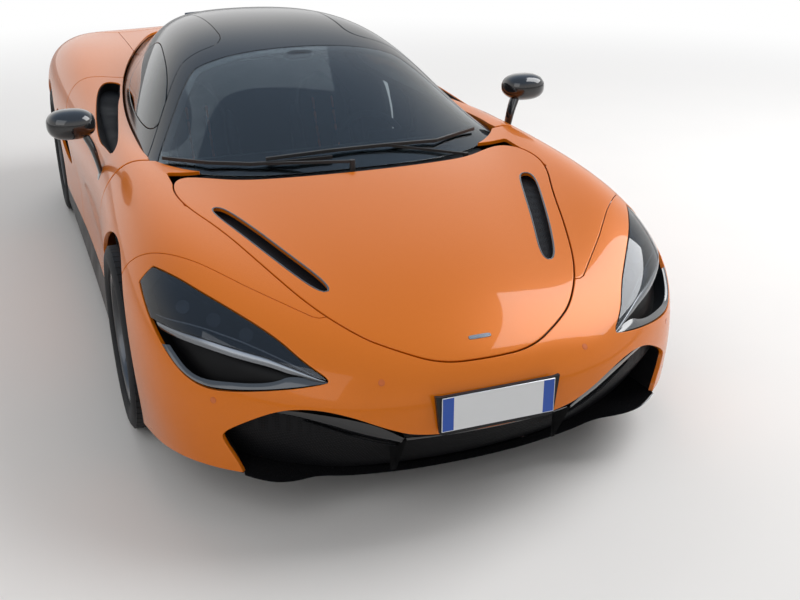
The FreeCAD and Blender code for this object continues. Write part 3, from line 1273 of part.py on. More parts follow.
def build():
    os.makedirs("parts", exist_ok=True)
    body = body_mesh(BODY_STEPS)
    canopy = canopy_mesh(CANOPY_STEPS, body)
    skin = skins(body, canopy)

    def panel(name, thickness=SKIN, depth=0.0):
        return thick(skin[name], depth + thickness, -depth)

    def whole_panel(name, thickness=SKIN, depth=0.0):
        return thick(join_halves(skin[name]), depth + thickness, -depth)

    front_centre = (FRONT_TRACK / 2, FRONT_AXLE_Y, FRONT_TYRE_RADIUS)
    rear_centre = (REAR_TRACK / 2, REAR_AXLE_Y, REAR_TYRE_RADIUS)

    axis_z = height_at(body, BONNET_HINGE_X, BONNET_PATCH_Y) - HINGE_DEPTH
    patch_z = height_at(body, BONNET_HINGE_X, BONNET_PATCH_Y) - LAMP_DEPTH
    bonnet_bracket, bonnet_arm = bonnet_hinge(axis_z, patch_z)
    door_bracket, door_arm = door_hinge()
    scuttle = join_halves(skin["scuttle"])
    scuttle_top, scuttle_under = offset(scuttle, SCUTTLE_DEPTH), offset(scuttle, SCUTTLE_DEPTH + SCUTTLE_THICKNESS)
    cowl_top = min(height_at(scuttle_under, x, y) for x in range(-300, 301, 50)
                   for y in (COWL_Y - BAY_WALL / 2, COWL_Y + BAY_WALL / 2)) - FIXED_GAP
    save("tub", [tub(cowl_top, [bonnet_bracket, door_bracket])])
    wing_under = offset(join_halves(skin["rear_wing"]), WING_THICKNESS)
    post_top = min(height_at(wing_under, WING_POST_X + i, WING_POST_Y + j)
                   for i, j in ((-16, -16), (16, -16), (16, 16), (-16, 16), (0, 0))) - FIXED_GAP
    save("rear_frame", [rear_frame(post_top)])
    save("engine_block", [engine_block()])
    save("undertray", [undertray()])
    save("splitter", [splitter()])
    save("diffuser", [diffuser()])
    save("exhausts", [exhausts()])
    save("seats", [seat(-DRIVER_X), seat(DRIVER_X)])
    save("dashboard", [dashboard()])
    save("steering_wheel", [steering_wheel()])
    save("wheel_liners", both_sides([
        wheel_liner(FRONT_AXLE_Y, FRONT_TYRE_RADIUS, FRONT_LINER_RADIUS, FRONT_BOX_X + FIXED_GAP, LINER_X),
        wheel_liner(REAR_AXLE_Y, REAR_TYRE_RADIUS, REAR_LINER_RADIUS, REAR_LINER_INNER, LINER_X)]))
    save("front_suspension", both_sides(corner_suspension(
        FRONT_AXLE_Y, FRONT_TYRE_RADIUS, FRONT_TRACK / 2, FRONT_TYRE_WIDTH, FRONT_BOX_X, 575)))
    save("rear_suspension", both_sides(corner_suspension(
        REAR_AXLE_Y, REAR_TYRE_RADIUS, REAR_TRACK / 2, REAR_TYRE_WIDTH, REAR_RAIL_X, 575)))
    save("rear_knuckles", both_sides([upright(1, rear_centre, REAR_TYRE_WIDTH),
                                      caliper(1, rear_centre, REAR_TYRE_WIDTH)]))
    save_sides("front_knuckle", [upright(1, front_centre, FRONT_TYRE_WIDTH), caliper(1, front_centre, FRONT_TYRE_WIDTH)])
    save_sides("front_tyre", [tyre(front_centre, FRONT_TYRE_RADIUS, FRONT_TYRE_WIDTH, FRONT_RIM_RADIUS)])
    save_sides("front_rim", [rim(front_centre, 1, FRONT_TYRE_WIDTH, FRONT_RIM_RADIUS)])
    save_sides("rear_tyre", [tyre(rear_centre, REAR_TYRE_RADIUS, REAR_TYRE_WIDTH, REAR_RIM_RADIUS)])
    save_sides("rear_rim", [rim(rear_centre, 1, REAR_TYRE_WIDTH, REAR_RIM_RADIUS)])

    patch = region(skin["bonnet"], *oblong_cuts(BONNET_HINGE_X, BONNET_PATCH_Y, 14, 32))
    arms = both_sides([bonnet_arm.fuse(thick(patch, SKIN + 28, -SKIN - FIXED_GAP))])
    save("bonnet", whole_panel("bonnet") + arms)
    save("scuttle", whole_panel("scuttle", SCUTTLE_THICKNESS, SCUTTLE_DEPTH))
    save("wipers", [wiper(canopy, scuttle_top, -40, 58, -680, -90, 52),
                     wiper(canopy, scuttle_top, 470, 24, -330, 600, 86)])
    save("front_bumper", whole_panel("front_bumper"))
    save("number_plate", number_plate())
    save("front_grille", whole_panel("intake", 8, SKIN + LAP_GAP))
    save("headlamps", both_sides(panel("lamp", LAMP_DEPTH, SKIN + LAP_GAP)))
    save("front_fenders", both_sides(panel("front_fender")))
    save("rear_fenders", both_sides(panel("rear_quarter")) + whole_panel("tail_deck"))
    save("side_skirts", both_sides(panel("side_skirt")))
    save("side_intakes", both_sides(panel("side_intake", 8, SKIN + LAP_GAP)))
    save("rear_wing", whole_panel("rear_wing", WING_THICKNESS))
    save("rear_bumper", whole_panel("rear_bumper"))
    save("rear_mesh", whole_panel("rear_mesh", 8, 4))
    save("tail_lamps", both_sides(panel("tail_lamp", 4 - FIXED_GAP)))
    save("windscreen", whole_panel("windscreen", GLASS_THICKNESS))
    save("roof", whole_panel("roof", FRAME_THICKNESS))
    save("rear_glass", whole_panel("rear_glass", GLASS_THICKNESS))
    save("engine_cover", whole_panel("engine_cover") + whole_panel("rear_deck", FRAME_THICKNESS))
    lower_door = panel("door", DOOR_THICKNESS)
    lower_door[0] = lower_door[0].fuse([door_arm])
    save_sides("door", lower_door + panel("door_frame", FRAME_THICKNESS))
    save_sides("door_glass", panel("door_glass", GLASS_THICKNESS))
    foot = thick(skin["mirror_foot"], -FIXED_GAP, 10)
    save_sides("mirror", [mirror(foot, height_at(body, MIRROR_FOOT_X - 9, MIRROR_FOOT_Y) + 2)])


build()
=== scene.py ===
import bpy, math
import numpy as np
from mathutils import Vector, Matrix, kdtree
from mathutils.bvhtree import BVHTree


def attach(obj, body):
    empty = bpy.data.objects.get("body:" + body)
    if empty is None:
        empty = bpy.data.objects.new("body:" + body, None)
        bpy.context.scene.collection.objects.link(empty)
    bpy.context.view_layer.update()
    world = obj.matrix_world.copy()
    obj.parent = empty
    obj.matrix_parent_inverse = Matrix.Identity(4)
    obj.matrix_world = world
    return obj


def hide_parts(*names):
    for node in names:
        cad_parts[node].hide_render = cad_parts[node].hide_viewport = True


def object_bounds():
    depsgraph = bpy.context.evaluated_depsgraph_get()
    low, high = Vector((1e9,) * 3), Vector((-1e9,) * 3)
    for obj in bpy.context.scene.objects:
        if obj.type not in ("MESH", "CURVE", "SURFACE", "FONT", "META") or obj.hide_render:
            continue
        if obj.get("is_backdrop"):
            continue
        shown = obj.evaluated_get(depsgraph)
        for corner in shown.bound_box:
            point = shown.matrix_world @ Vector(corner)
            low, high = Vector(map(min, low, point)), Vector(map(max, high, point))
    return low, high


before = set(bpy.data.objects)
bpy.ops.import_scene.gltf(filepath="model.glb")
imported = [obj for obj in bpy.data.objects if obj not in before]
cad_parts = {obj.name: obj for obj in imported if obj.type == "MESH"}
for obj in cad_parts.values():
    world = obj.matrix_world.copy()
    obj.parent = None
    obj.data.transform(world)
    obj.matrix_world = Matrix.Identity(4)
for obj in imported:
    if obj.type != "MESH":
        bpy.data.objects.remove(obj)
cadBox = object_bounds()
print("frame loaded")

# main sizes in millimetres, as in the part's own source; the nose is towards -Y and +X is the car's left
car = {"frontAxle": -1191.5, "rearAxle": 1478.5, "frontOverhang": 1080.0, "rearOverhang": 793.0, "plateStand": 18.0,
       "width": 1930.0, "height": 1196.0, "footSink": 15.0, "footGap": 1.2, "frontTrack": 1674.0, "rearTrack": 1629.0,
       "frontTyre": 327.0, "rearTyre": 345.5, "archRoom": 45.0, "sillTop": 235.0, "tailSplit": 455.0, "wingLow": 760.0,
       "doorFrameInner": 284.0}
seams = {"shutHalf": 2.4, "fixedHalf": 1.0, "roll": 2.6, "lap": 12.0, "hole": 1.3}
scene = bpy.context.scene


def along(at):  # the Y of a place along the car: -1 nose, 0 and 1 the axles, 2 tail
    at = np.asarray(at, float)
    ahead = car["frontAxle"] + at * car["frontOverhang"]
    middle = car["frontAxle"] + at * (car["rearAxle"] - car["frontAxle"])
    behind = car["rearAxle"] + (at - 1) * car["rearOverhang"]
    return np.where(at < 0, ahead, np.where(at < 1, middle, behind))


def newObject(name, data):
    obj = bpy.data.objects.new(name, data)
    scene.collection.objects.link(obj)
    return obj


def newNodes(tree, *kinds):
    return [tree.nodes.new(kind) for kind in kinds]


def give(node, **values):  # sets a node's own inputs; an underscore stands for a space
    for label, value in values.items():
        node.inputs[label.replace("_", " ")].default_value = value


def wire(tree, *ways):  # each way is a node and its output, then a node and its input
    for source, output, target, entry in ways:
        tree.links.new(source.outputs[output], target.inputs[entry])


# materials
colorEnds, colorOut = (6, 7), 2  # the sockets of a mix node that take its two colors and give their mix


def mixColors(tree, *colors):
    mix = tree.nodes.new("ShaderNodeMix")
    mix.data_type = "RGBA"
    for end, color in zip(colorEnds, colors):
        mix.inputs[end].default_value = (*color, 1)
    return mix


def makeGroup(name, outputs, **inputs):  # a shader group; a tuple is a color, and an underscore stands for a space
    group = bpy.data.node_groups.new(name, "ShaderNodeTree")
    for label, value in inputs.items():
        kind = "NodeSocketColor" if isinstance(value, tuple) else "NodeSocketFloat"
        group.interface.new_socket(name=label.replace("_", " "), in_out="INPUT", socket_type=kind).default_value = value
    for label in outputs:
        kind = "NodeSocketColor" if label == "Color" else "NodeSocketFloat"
        group.interface.new_socket(name=label, in_out="OUTPUT", socket_type=kind)
    return group, *newNodes(group, "NodeGroupInput", "NodeGroupOutput")


def grainGroup():  # fine noise as a height, and a slow noise as a roughness
    group, start, end = makeGroup("fineGrain", ("Height", "Roughness", "Mask"),
                                  Scale=900.0, Patch_Scale=6.0, Smooth=0.3, Rough=0.5)
    place, fine, patch, spread = newNodes(
        group, "ShaderNodeTexCoord", "ShaderNodeTexNoise", "ShaderNodeTexNoise", "ShaderNodeMapRange")
    give(fine, Detail=3.0)
    give(patch, Detail=5.0)
    give(spread, From_Min=0.3, From_Max=0.7)
    wire(group, (place, "Object", fine, "Vector"), (place, "Object", patch, "Vector"), (start, "Scale", fine, "Scale"),
         (start, "Patch Scale", patch, "Scale"), (patch, "Fac", spread, "Value"), (start, "Smooth", spread, "To Min"),
         (start, "Rough", spread, "To Max"), (fine, "Fac", end, "Height"), (spread, "Result", end, "Roughness"),
         (patch, "Fac", end, "Mask"))
    return group


def twillGroup():  # a two by two weave over the surface, for carbon fibre; the tows on top and the crown of each tow are painted lighter, a painted sheen over the weave's own pattern
    group, start, end = makeGroup("twillWeave", ("Color", "Height"),
                                  Scale=260.0, Dark=(0.01, 0.01, 0.012, 1), Light=(0.05, 0.05, 0.055, 1))
    place, cut, lift = newNodes(group, "ShaderNodeTexCoord", "ShaderNodeSeparateXYZ", "ShaderNodeMix")
    tint, scale = mixColors(group), start.outputs["Scale"]

    def maths(kind, *values):
        node = group.nodes.new("ShaderNodeMath")
        node.operation = kind
        for socket, value in zip(node.inputs, values):
            if isinstance(value, float):
                socket.default_value = value
            else:
                group.links.new(value, socket)
        return node.outputs[0]

    x, y, z = cut.outputs
    u = maths("MULTIPLY", maths("ADD", x, z), scale)
    v = maths("MULTIPLY", maths("ADD", y, maths("MULTIPLY", z, 0.5)), scale)
    over = maths("LESS_THAN", maths("FLOORED_MODULO", maths("ADD", maths("FLOOR", u), maths("FLOOR", v)), 4.0), 2.0)
    # painted sheen: the colour is lighter on the tows on top and where each tow rises
    shade = maths("ADD", maths("MULTIPLY", over, 0.6), maths("MULTIPLY", lift.outputs[0], 0.8))
    for value, socket in ((over, lift.inputs["Factor"]), (maths("PINGPONG", u, 0.5), lift.inputs[2]),
                          (maths("PINGPONG", v, 0.5), lift.inputs[3]), (shade, tint.inputs["Factor"])):
        group.links.new(value, socket)
    wire(group, (place, "Object", cut, 0), (start, "Dark", tint, colorEnds[0]), (start, "Light", tint, colorEnds[1]),
         (tint, colorOut, end, "Color"), (lift, 0, end, "Height"))
    return group


def flakeGroup():  # tiny metal flakes, and the slow waviness of a sprayed coat
    group, start, end = makeGroup("paintFlakes", ("Color", "Height", "Roughness"), Flake_Scale=2400.0, Wave_Scale=90.0,
                                  Deep=(0.8, 0.2, 0.01, 1), Bright=(1, 0.4, 0.05, 1), Flakes=0.25)
    place, cells, wave, weight, shine, cut = newNodes(
        group, "ShaderNodeTexCoord", "ShaderNodeTexVoronoi", "ShaderNodeTexNoise", "ShaderNodeMath",
        "ShaderNodeMapRange", "ShaderNodeSeparateXYZ")
    tint = mixColors(group)
    weight.operation = "MULTIPLY"
    give(wave, Detail=1.5)
    give(shine, To_Min=0.26, To_Max=0.4)
    wire(group, (place, "Object", cells, "Vector"), (place, "Object", wave, "Vector"),
         (start, "Flake Scale", cells, "Scale"), (start, "Wave Scale", wave, "Scale"), (cells, "Color", cut, 0),
         (cut, 0, weight, 0), (start, "Flakes", weight, 1), (weight, 0, tint, "Factor"),
         (start, "Deep", tint, colorEnds[0]), (start, "Bright", tint, colorEnds[1]), (cut, 1, shine, "Value"),
         (tint, colorOut, end, "Color"), (wave, "Fac", end, "Height"), (shine, "Result", end, "Roughness"))
    return group


def meshGroup():  # round holes in a staggered grid, seen from the front
    group, start, end = makeGroup("wireMesh", ("Color", "Height"),
                                  Scale=90.0, Wire=(0.03, 0.03, 0.03, 1), Hole=(0.002, 0.002, 0.002, 1))
    place, turn, cells, edge = newNodes(
        group, "ShaderNodeTexCoord", "ShaderNodeMapping", "ShaderNodeTexVoronoi", "ShaderNodeMapRange")
    tint = mixColors(group)
    give(turn, Rotation=(0, 0, math.radians(45)))
    give(cells, Randomness=0.0)
    give(edge, From_Min=0.30, From_Max=0.42)
    wire(group, (place, "Object", turn, "Vector"), (turn, 0, cells, "Vector"), (start, "Scale", cells, "Scale"),
         (cells, "Distance", edge, "Value"), (edge, "Result", tint, "Factor"), (start, "Hole", tint, colorEnds[0]),
         (start, "Wire", tint, colorEnds[1]), (tint, colorOut, end, "Color"), (edge, "Result", end, "Height"))
    return group


groups = {"grain": grainGroup(), "twill": twillGroup(), "flakes": flakeGroup(), "mesh": meshGroup()}


def newMaterial(name, kind, values, **shading):  # a material led by one of the groups
    material = bpy.data.materials.new(name)
    material.use_nodes = True
    tree = material.node_tree
    shader, source = tree.nodes["Principled BSDF"], tree.nodes.new("ShaderNodeGroup")
    source.node_tree = groups[kind]
    give(source, **values)
    give(shader, **shading)
    return material, tree, shader, source


def bump(tree, shader, source, strength, distance):
    node = tree.nodes.new("ShaderNodeBump")
    give(node, Strength=strength, Distance=distance)
    wire(tree, (source, "Height", node, "Height"), (node, "Normal", shader, "Normal"))


def shadeByGrain(tree, shader, grain, low, high):
    tint = mixColors(tree, low, high)
    wire(tree, (grain, "Mask", tint, "Factor"), (tint, colorOut, shader, "Base Color"),
         (grain, "Roughness", shader, "Roughness"))


def grainy(name, color, smooth, rough, scale=900.0, patch=6.0, metallic=0.0, strength=0.15, depth=0.0003, coat=0.0,
           tone=0.12, sheen=0.0, specular=0.5):
    material, tree, shader, grain = newMaterial(
        name, "grain", {"Scale": scale, "Patch Scale": patch, "Smooth": smooth, "Rough": rough}, Metallic=metallic,
        Coat_Weight=coat, Coat_Roughness=0.04, Sheen_Weight=sheen, Specular_IOR_Level=specular)
    shadeByGrain(tree, shader, grain, [c * (1 - tone) for c in color], [min(c * (1 + tone), 1) for c in color])
    bump(tree, shader, grain, strength, depth)
    material.diffuse_color = (*color, 1)
    return material


def paintCoat(name, deep, bright):
    material, tree, shader, flakes = newMaterial(
        name, "flakes", {"Deep": (*deep, 1), "Bright": (*bright, 1)}, Metallic=0.12, Coat_Weight=0.6,
        Coat_Roughness=0.03, Coat_IOR=1.4, Specular_IOR_Level=0.15)
    wire(tree, (flakes, "Color", shader, "Base Color"), (flakes, "Roughness", shader, "Roughness"))
    bump(tree, shader, flakes, 0.05, 0.0002)
    return material


def glassSheet(name, color):
    material, tree, shader, grain = newMaterial(
        name, "grain", {"Scale": 40.0, "Patch Scale": 3.0, "Smooth": 0.0, "Rough": 0.015},
        Transmission_Weight=1.0, IOR=1.45)
    shadeByGrain(tree, shader, grain, [c * 0.96 for c in color], color)
    return material


def wovenCarbon(name):
    material, tree, shader, weave = newMaterial(
        name, "twill", {"Scale": 330.0, "Dark": (0.008, 0.008, 0.009, 1), "Light": (0.045, 0.045, 0.05, 1)},
        Roughness=0.35, Coat_Weight=1.0, Coat_Roughness=0.05)
    wire(tree, (weave, "Color", shader, "Base Color"))
    bump(tree, shader, weave, 0.15, 0.0004)
    return material


def holedMesh(name, scale, wireColor):
    material, tree, shader, mesh = newMaterial(
        name, "mesh", {"Scale": scale, "Wire": (*wireColor, 1)}, Roughness=0.45, Specular_IOR_Level=0.12)
    wire(tree, (mesh, "Color", shader, "Base Color"))
    bump(tree, shader, mesh, 0.6, 0.003)
    return material


def glowing(name, color, glow, strength):
    material = grainy(name, color, 0.1, 0.25, 400.0, coat=0.6)
    give(material.node_tree.nodes["Principled BSDF"], Emission_Color=(*glow, 1), Emission_Strength=strength)
    return material


paint = paintCoat("orangePaint", (0.62, 0.145, 0.0015), (0.80, 0.232, 0.006))
gloss = grainy("glossBlack", (0.006, 0.006, 0.007), 0.05, 0.09, 60.0, 3.0, strength=0.01, coat=0.5)
roofGloss = grainy("roofGloss", (0.008, 0.010, 0.012), 0.10, 0.14, 60.0, 3.0, strength=0.01)
lipGrey = grainy("greyGloss", (0.045, 0.048, 0.052), 0.10, 0.18, 200.0, 5.0, strength=0.02, coat=0.6)
mirrorGloss = grainy("mirrorShell", (0.012, 0.012, 0.013), 0.08, 0.14, 80.0, 3.0, strength=0.01, coat=0.5)
mirrorFace = grainy("mirrorFace", (0.75, 0.77, 0.78), 0.02, 0.04, 40.0, metallic=1.0, strength=0.0)
satin = grainy("satinBlack", (0.010, 0.010, 0.011), 0.32, 0.5, 700.0, strength=0.12, specular=0.25)
# a near-black with little shine for the insides of ducts and recesses: a black lining, darkened further as painted
# shade
recessShadeBlack = grainy("recessShadeBlack", (0.004, 0.004, 0.0045), 0.5, 0.7, 700.0, strength=0.1, specular=0.1)
wiperBlack = grainy("wiperBlack", (0.010, 0.010, 0.010), 0.35, 0.5, 900.0, strength=0.15)
plastic = grainy("grainedPlastic", (0.014, 0.014, 0.015), 0.45, 0.62, 1400.0, strength=0.3, depth=0.0004, specular=0.3)
carbon = wovenCarbon("twillCarbon")
tintedGlass = glassSheet("tintedScreen", (0.30, 0.35, 0.37))
darkGlass = glassSheet("darkGlass", (0.15, 0.18, 0.19))
clearCover = glassSheet("lampCover", (0.20, 0.22, 0.25))
lampGlass = glassSheet("lampLens", (0.86, 0.9, 0.94))
rubber = grainy("tyreRubber", (0.014, 0.014, 0.015), 0.6, 0.85, 800.0, strength=0.35, depth=0.0006, tone=0.2,
                specular=0.25)
rimPaint = grainy("satinRim", (0.07, 0.072, 0.076), 0.24, 0.36, 1200.0, metallic=0.85, strength=0.05, coat=0.3)
discMetal = grainy("brakeDisc", (0.16, 0.155, 0.15), 0.32, 0.5, 300.0, 20.0, metallic=0.9, strength=0.2)
steel = grainy("brushedSteel", (0.42, 0.42, 0.43), 0.22, 0.42, 600.0, metallic=1.0, strength=0.1)
castMetal = grainy("castAluminium", (0.30, 0.30, 0.31), 0.42, 0.65, 500.0, metallic=0.9, strength=0.4, depth=0.0008)
darkMetal = grainy("darkMetal", (0.05, 0.05, 0.052), 0.35, 0.6, 500.0, metallic=0.8, strength=0.25)
titanium = grainy("titaniumPipe", (0.33, 0.28, 0.25), 0.18, 0.35, 300.0, metallic=1.0, strength=0.05)
lampSilver = grainy("lampSilver", (0.20, 0.21, 0.225), 0.14, 0.25, 500.0, metallic=0.85, strength=0.03)
lampBlack = grainy("lampBlack", (0.003, 0.003, 0.0035), 0.3, 0.5, 500.0, strength=0.05, specular=0.12)
ledWhite = glowing("daylightStrip", (0.55, 0.57, 0.60), (0.9, 0.95, 1.0), 0.06)
tailRed = glowing("tailRed", (0.35, 0.004, 0.004), (0.9, 0.02, 0.02), 0.25)
suede = grainy("darkSuede", (0.016, 0.016, 0.017), 0.8, 0.95, 1800.0, 14.0, strength=0.4, sheen=0.1, tone=0.25,
               specular=0.15)
orangeHide = grainy("orangeHide", (0.62, 0.12, 0.01), 0.45, 0.6, 1500.0, 10.0, strength=0.3)
plateWhite = grainy("plateWhite", (0.70, 0.71, 0.72), 0.25, 0.4, 900.0, strength=0.03, tone=0.03)
plateBlue = grainy("plateBlue", (0.01, 0.07, 0.38), 0.25, 0.4, 900.0, strength=0.03, tone=0.05)
sensorGrey = grainy("sensorPaint", (0.54, 0.11, 0.002), 0.25, 0.4, 900.0, coat=0.4)
meshBlack = holedMesh("blackMesh", 120.0, (0.006, 0.006, 0.007))
calliperPaint = grainy("calliperPaint", (0.60, 0.11, 0.006), 0.25, 0.4, 300.0, strength=0.05, coat=0.6)
screenBlue = grainy("displayGlass", (0.01, 0.014, 0.02), 0.05, 0.1, 60.0, strength=0.0, coat=0.8)
print("materials made")


def finalMesh(obj):  # the mesh that an object's modifiers give
    return bpy.data.meshes.new_from_object(obj.evaluated_get(bpy.context.evaluated_depsgraph_get()))


# the body's smooth surface comes from a cage
def cageSurface(points, faces, levels):  # the smooth limit surface of a quad cage, as points and quads
    mesh = bpy.data.meshes.new("cage")
    mesh.from_pydata([tuple(map(float, p)) for p in points], [], faces)
    obj = newObject("cage", mesh)
    smooth = obj.modifiers.new("smooth", "SUBSURF")
    smooth.levels = smooth.render_levels = levels
    smooth.quality = 6
    smooth.use_limit_surface = True
    smooth.boundary_smooth = "ALL"
    made = finalMesh(obj)
    found = np.zeros(len(made.vertices) * 3)
    made.vertices.foreach_get("co", found)
    corners = np.zeros(len(made.loops), dtype=np.int64)
    made.loops.foreach_get("vertex_index", corners)
    bpy.data.objects.remove(obj)
    return found.reshape(-1, 3), corners.reshape(-1, 4)


def normalsOf(points, quads):
    across = np.cross(points[quads[:, 2]] - points[quads[:, 0]], points[quads[:, 3]] - points[quads[:, 1]])
    total = np.zeros_like(points)
    for k in range(4):
        np.add.at(total, quads[:, k], across)
    return total / np.maximum(np.linalg.norm(total, axis=1), 1e-9)[:, None]


def rimEdges(skin):  # directed edges that only one face has
    points, _, quads, polys, _ = skin
    starts = np.concatenate([quads.ravel(), *(np.array(g) for g in polys)]).astype(np.int64)
    ends = np.concatenate([np.roll(quads, -1, axis=1).ravel(), *(np.roll(g, -1) for g in polys)]).astype(np.int64)
    count = len(points)
    alone = ~np.isin(starts * count + ends, ends * count + starts)
    return starts[alone], ends[alone]


def makeSkin(points, quads):  # a skin: points, normals, quads, cut faces, and which points are on the rim
    rim = np.zeros(len(points), bool)
    for ids in rimEdges((points, None, quads, [], rim)):
        rim[ids] = True
    return points, normalsOf(points, quads), quads, [], rim


def gridFaces(rows):
    return [(rows[i][j], rows[i][j + 1], rows[i + 1][j + 1], rows[i + 1][j])
            for i in range(len(rows) - 1) for j in range(len(rows[0]) - 1)]


def mirroredRow(half):
    return [(-x, y, z) for x, y, z in reversed(half[1:])] + half


# left half of each section: places along the car, then x and z, from the centre line down to the sill
bodyColumns = ("atCentre zCentre atValley xValley zValley atCrest xCrest zCrest "
               "atSide xUpper zUpper xWaist zWaist xLow zLow xSill zSill").split()
bodyRows = [
    (-.935, 560, -.905, 360, 555, -.830, 640, 530, -.790, 700, 490, 740, 420, 745, 300, 720, 131),
    (-.800, 632, -.775, 430, 622, -.660, 730, 640, -.600, 870, 590, 900, 480, 905, 320, 870, 131),
    (-.556, 712, -.519, 500, 685, -.410, 765, 765, -.352, 915, 690, 950, 540, 950, 350, 925, 131),
    (-.231, 775, -.204, 545, 750, -.120, 790, 818, -.056, 930, 722, 962, 560, 962, 350, 945, 135),
    (.037, 830, .056, 600, 785, .075, 790, 840, .097, 920, 742, 955, 570, 935, 350, 935, 130),
    (.187, 860, .195, 660, 800, .210, 785, 848, .225, 890, 765, 935, 590, 895, 380, 930, 130),
    (.412, 850, .412, 680, 790, .412, 800, 838, .412, 890, 755, 925, 580, 885, 380, 930, 130),
    (.637, 900, .637, 640, 815, .637, 810, 868, .637, 910, 775, 935, 590, 900, 400, 935, 130),
    (.843, 950, .843, 560, 860, .843, 805, 925, .843, 930, 830, 962, 650, 950, 430, 945, 140),
    (1.10, 950, 1.10, 500, 878, 1.10, 790, 945, 1.10, 935, 850, 968, 680, 962, 450, 945, 160),
    (1.605, 925, 1.605, 480, 885, 1.59, 760, 920, 1.567, 905, 830, 945, 680, 940, 450, 920, 220),
    (1.920, 905, 1.908, 450, 898, 1.857, 700, 895, 1.832, 780, 830, 815, 680, 815, 450, 800, 300),
]
faceColumns = "atCentre zCentre atValley xValley zValley".split()
noseRows = [(-.995, 500, -.950, 420, 490), (-1.02, 430, -.965, 440, 420), (-1.01, 300, -.955, 450, 300),
            (-.97, 131, -.915, 440, 131)]
tailRows = [(2.02, 840, 1.99, 470, 840), (2.02, 690, 1.99, 480, 690), (2.00, 460, 1.97, 480, 460),
            (1.96, 300, 1.93, 470, 300)]
canopyColumns = ("atCentre zCentre atMid xMid zMid atRail xRail zRail "
                 "atGlass xGlass zGlass atBelt xBelt zBelt").split()
canopyRows = [
    (.052, 822, .065, 330, 818, .115, 565, 808, .165, 690, 800, .205, 735, 792),
    (.215, 1005, .225, 325, 992, .260, 545, 945, .285, 665, 880, .310, 728, 795),
    (.380, 1160, .384, 305, 1148, .394, 512, 1090, .402, 628, 965, .410, 722, 795),
    (.525, 1212, .525, 295, 1202, .525, 480, 1145, .525, 598, 990, .525, 705, 800),
    (.695, 1195, .695, 270, 1185, .695, 430, 1130, .695, 545, 990, .695, 655, 822),
    (.865, 1128, .865, 220, 1120, .865, 350, 1070, .865, 455, 965, .865, 560, 850),
    (1.05, 1045, 1.05, 170, 1038, 1.05, 270, 1008, 1.05, 350, 940, 1.05, 450, 865),
    (1.50, 912, 1.50, 120, 911, 1.50, 190, 908, 1.50, 250, 898, 1.50, 330, 880),
]


def bodySection(row):
    c = dict(zip(bodyColumns, row))
    yCentre, yValley, ySide = along(c["atCentre"]), along(c["atValley"]), along(c["atSide"])
    half = [(0.0, yCentre, c["zCentre"]),
            (c["xValley"] / 2, yCentre + .3 * (yValley - yCentre), c["zCentre"] + .3 * (c["zValley"] - c["zCentre"])),
            (c["xValley"], yValley, c["zValley"]), (c["xCrest"], along(c["atCrest"]), c["zCrest"])]
    half += [(c["x" + name], ySide, c["z" + name]) for name in ("Upper", "Waist", "Low", "Sill")]
    return mirroredRow(half)


def faceSection(row):
    c = dict(zip(faceColumns, row))
    yCentre, yValley = along(c["atCentre"]), along(c["atValley"])
    return mirroredRow([(0.0, yCentre, c["zCentre"]),
                        (c["xValley"] / 2, yCentre + .25 * (yValley - yCentre), (c["zCentre"] + c["zValley"]) / 2),
                        (c["xValley"], yValley, c["zValley"])])


def bodySurface(levels):
    points, rows = [], []
    for row in bodyRows:
        section = bodySection(row)
        rows.append(list(range(len(points), len(points) + len(section))))
        points += section
    faces = gridFaces(rows)
    middle = len(rows[0]) // 2
    for endRow, faceRows, order in ((rows[0], noseRows, -1), (rows[-1], tailRows, 1)):
        grid = [endRow[middle - 3:middle + 4]]
        for k, row in enumerate(faceRows):
            section = faceSection(row)
            inner = list(range(len(points), len(points) + len(section)))
            points += section
            grid.append([endRow[middle - 4 - k]] + inner + [endRow[middle + 4 + k]])
        faces += [(a, b, c, d) if order > 0 else (a, d, c, b) for a, b, c, d in gridFaces(grid)]
    found, quads = cageSurface(points, faces, levels)
    y = found[:, 1]
    front, rear, nose = car["frontAxle"], car["rearAxle"], car["frontOverhang"] - car["plateStand"]
    ahead, behind = y < front, y > rear
    tailY = np.where(behind, rear + (y - rear) * car["rearOverhang"] / (y.max() - rear), y)
    found[:, 1] = np.where(ahead, front + (y - front) * nose / (front - y.min()), tailY)
    found[:, 0] *= car["width"] / 2 / found[:, 0].max()
    return makeSkin(found, quads)


def treeOf(skin):
    return BVHTree.FromPolygons(skin[0].tolist(), skin[2].tolist() + [list(g) for g in skin[3]])


def castDown(tree, x, y, fromHeight=3000.0):
    return tree.ray_cast(Vector((float(x), float(y), fromHeight)), Vector((0, 0, -1)))


def heightAt(tree, x, y):  # the height of a surface over a place, looking down on it
    return castDown(tree, x, y)[0].z


def canopySurface(levels, bodyTree):
    points, rows = [], []
    for number, row in enumerate(canopyRows):
        c = dict(zip(canopyColumns, row))
        half = [(0.0, along(c["atCentre"]), c["zCentre"])]
        half += [(c["x" + name], along(c["at" + name]), c["z" + name]) for name in ("Mid", "Rail", "Glass", "Belt")]
        atEnd = number in (0, len(canopyRows) - 1)
        half = [(x, y, heightAt(bodyTree, x, y) - car["footSink"] if atEnd or k == 4 else z)
                for k, (x, y, z) in enumerate(half)]
        section = mirroredRow(half)
        rows.append(list(range(len(points), len(points) + len(section))))
        points += section
    found, quads = cageSurface(points, gridFaces(rows), levels)
    foot = found[:, 2].min()
    found[:, 2] = foot + (found[:, 2] - foot) * (car["height"] - foot) / (found[:, 2].max() - foot)
    return makeSkin(found, quads)


body = bodySurface(4)
bodyTree = treeOf(body)
canopy = canopySurface(5, bodyTree)
canopyTree = treeOf(canopy)
print("surfaces made:", len(body[2]), "and", len(canopy[2]), "quads")


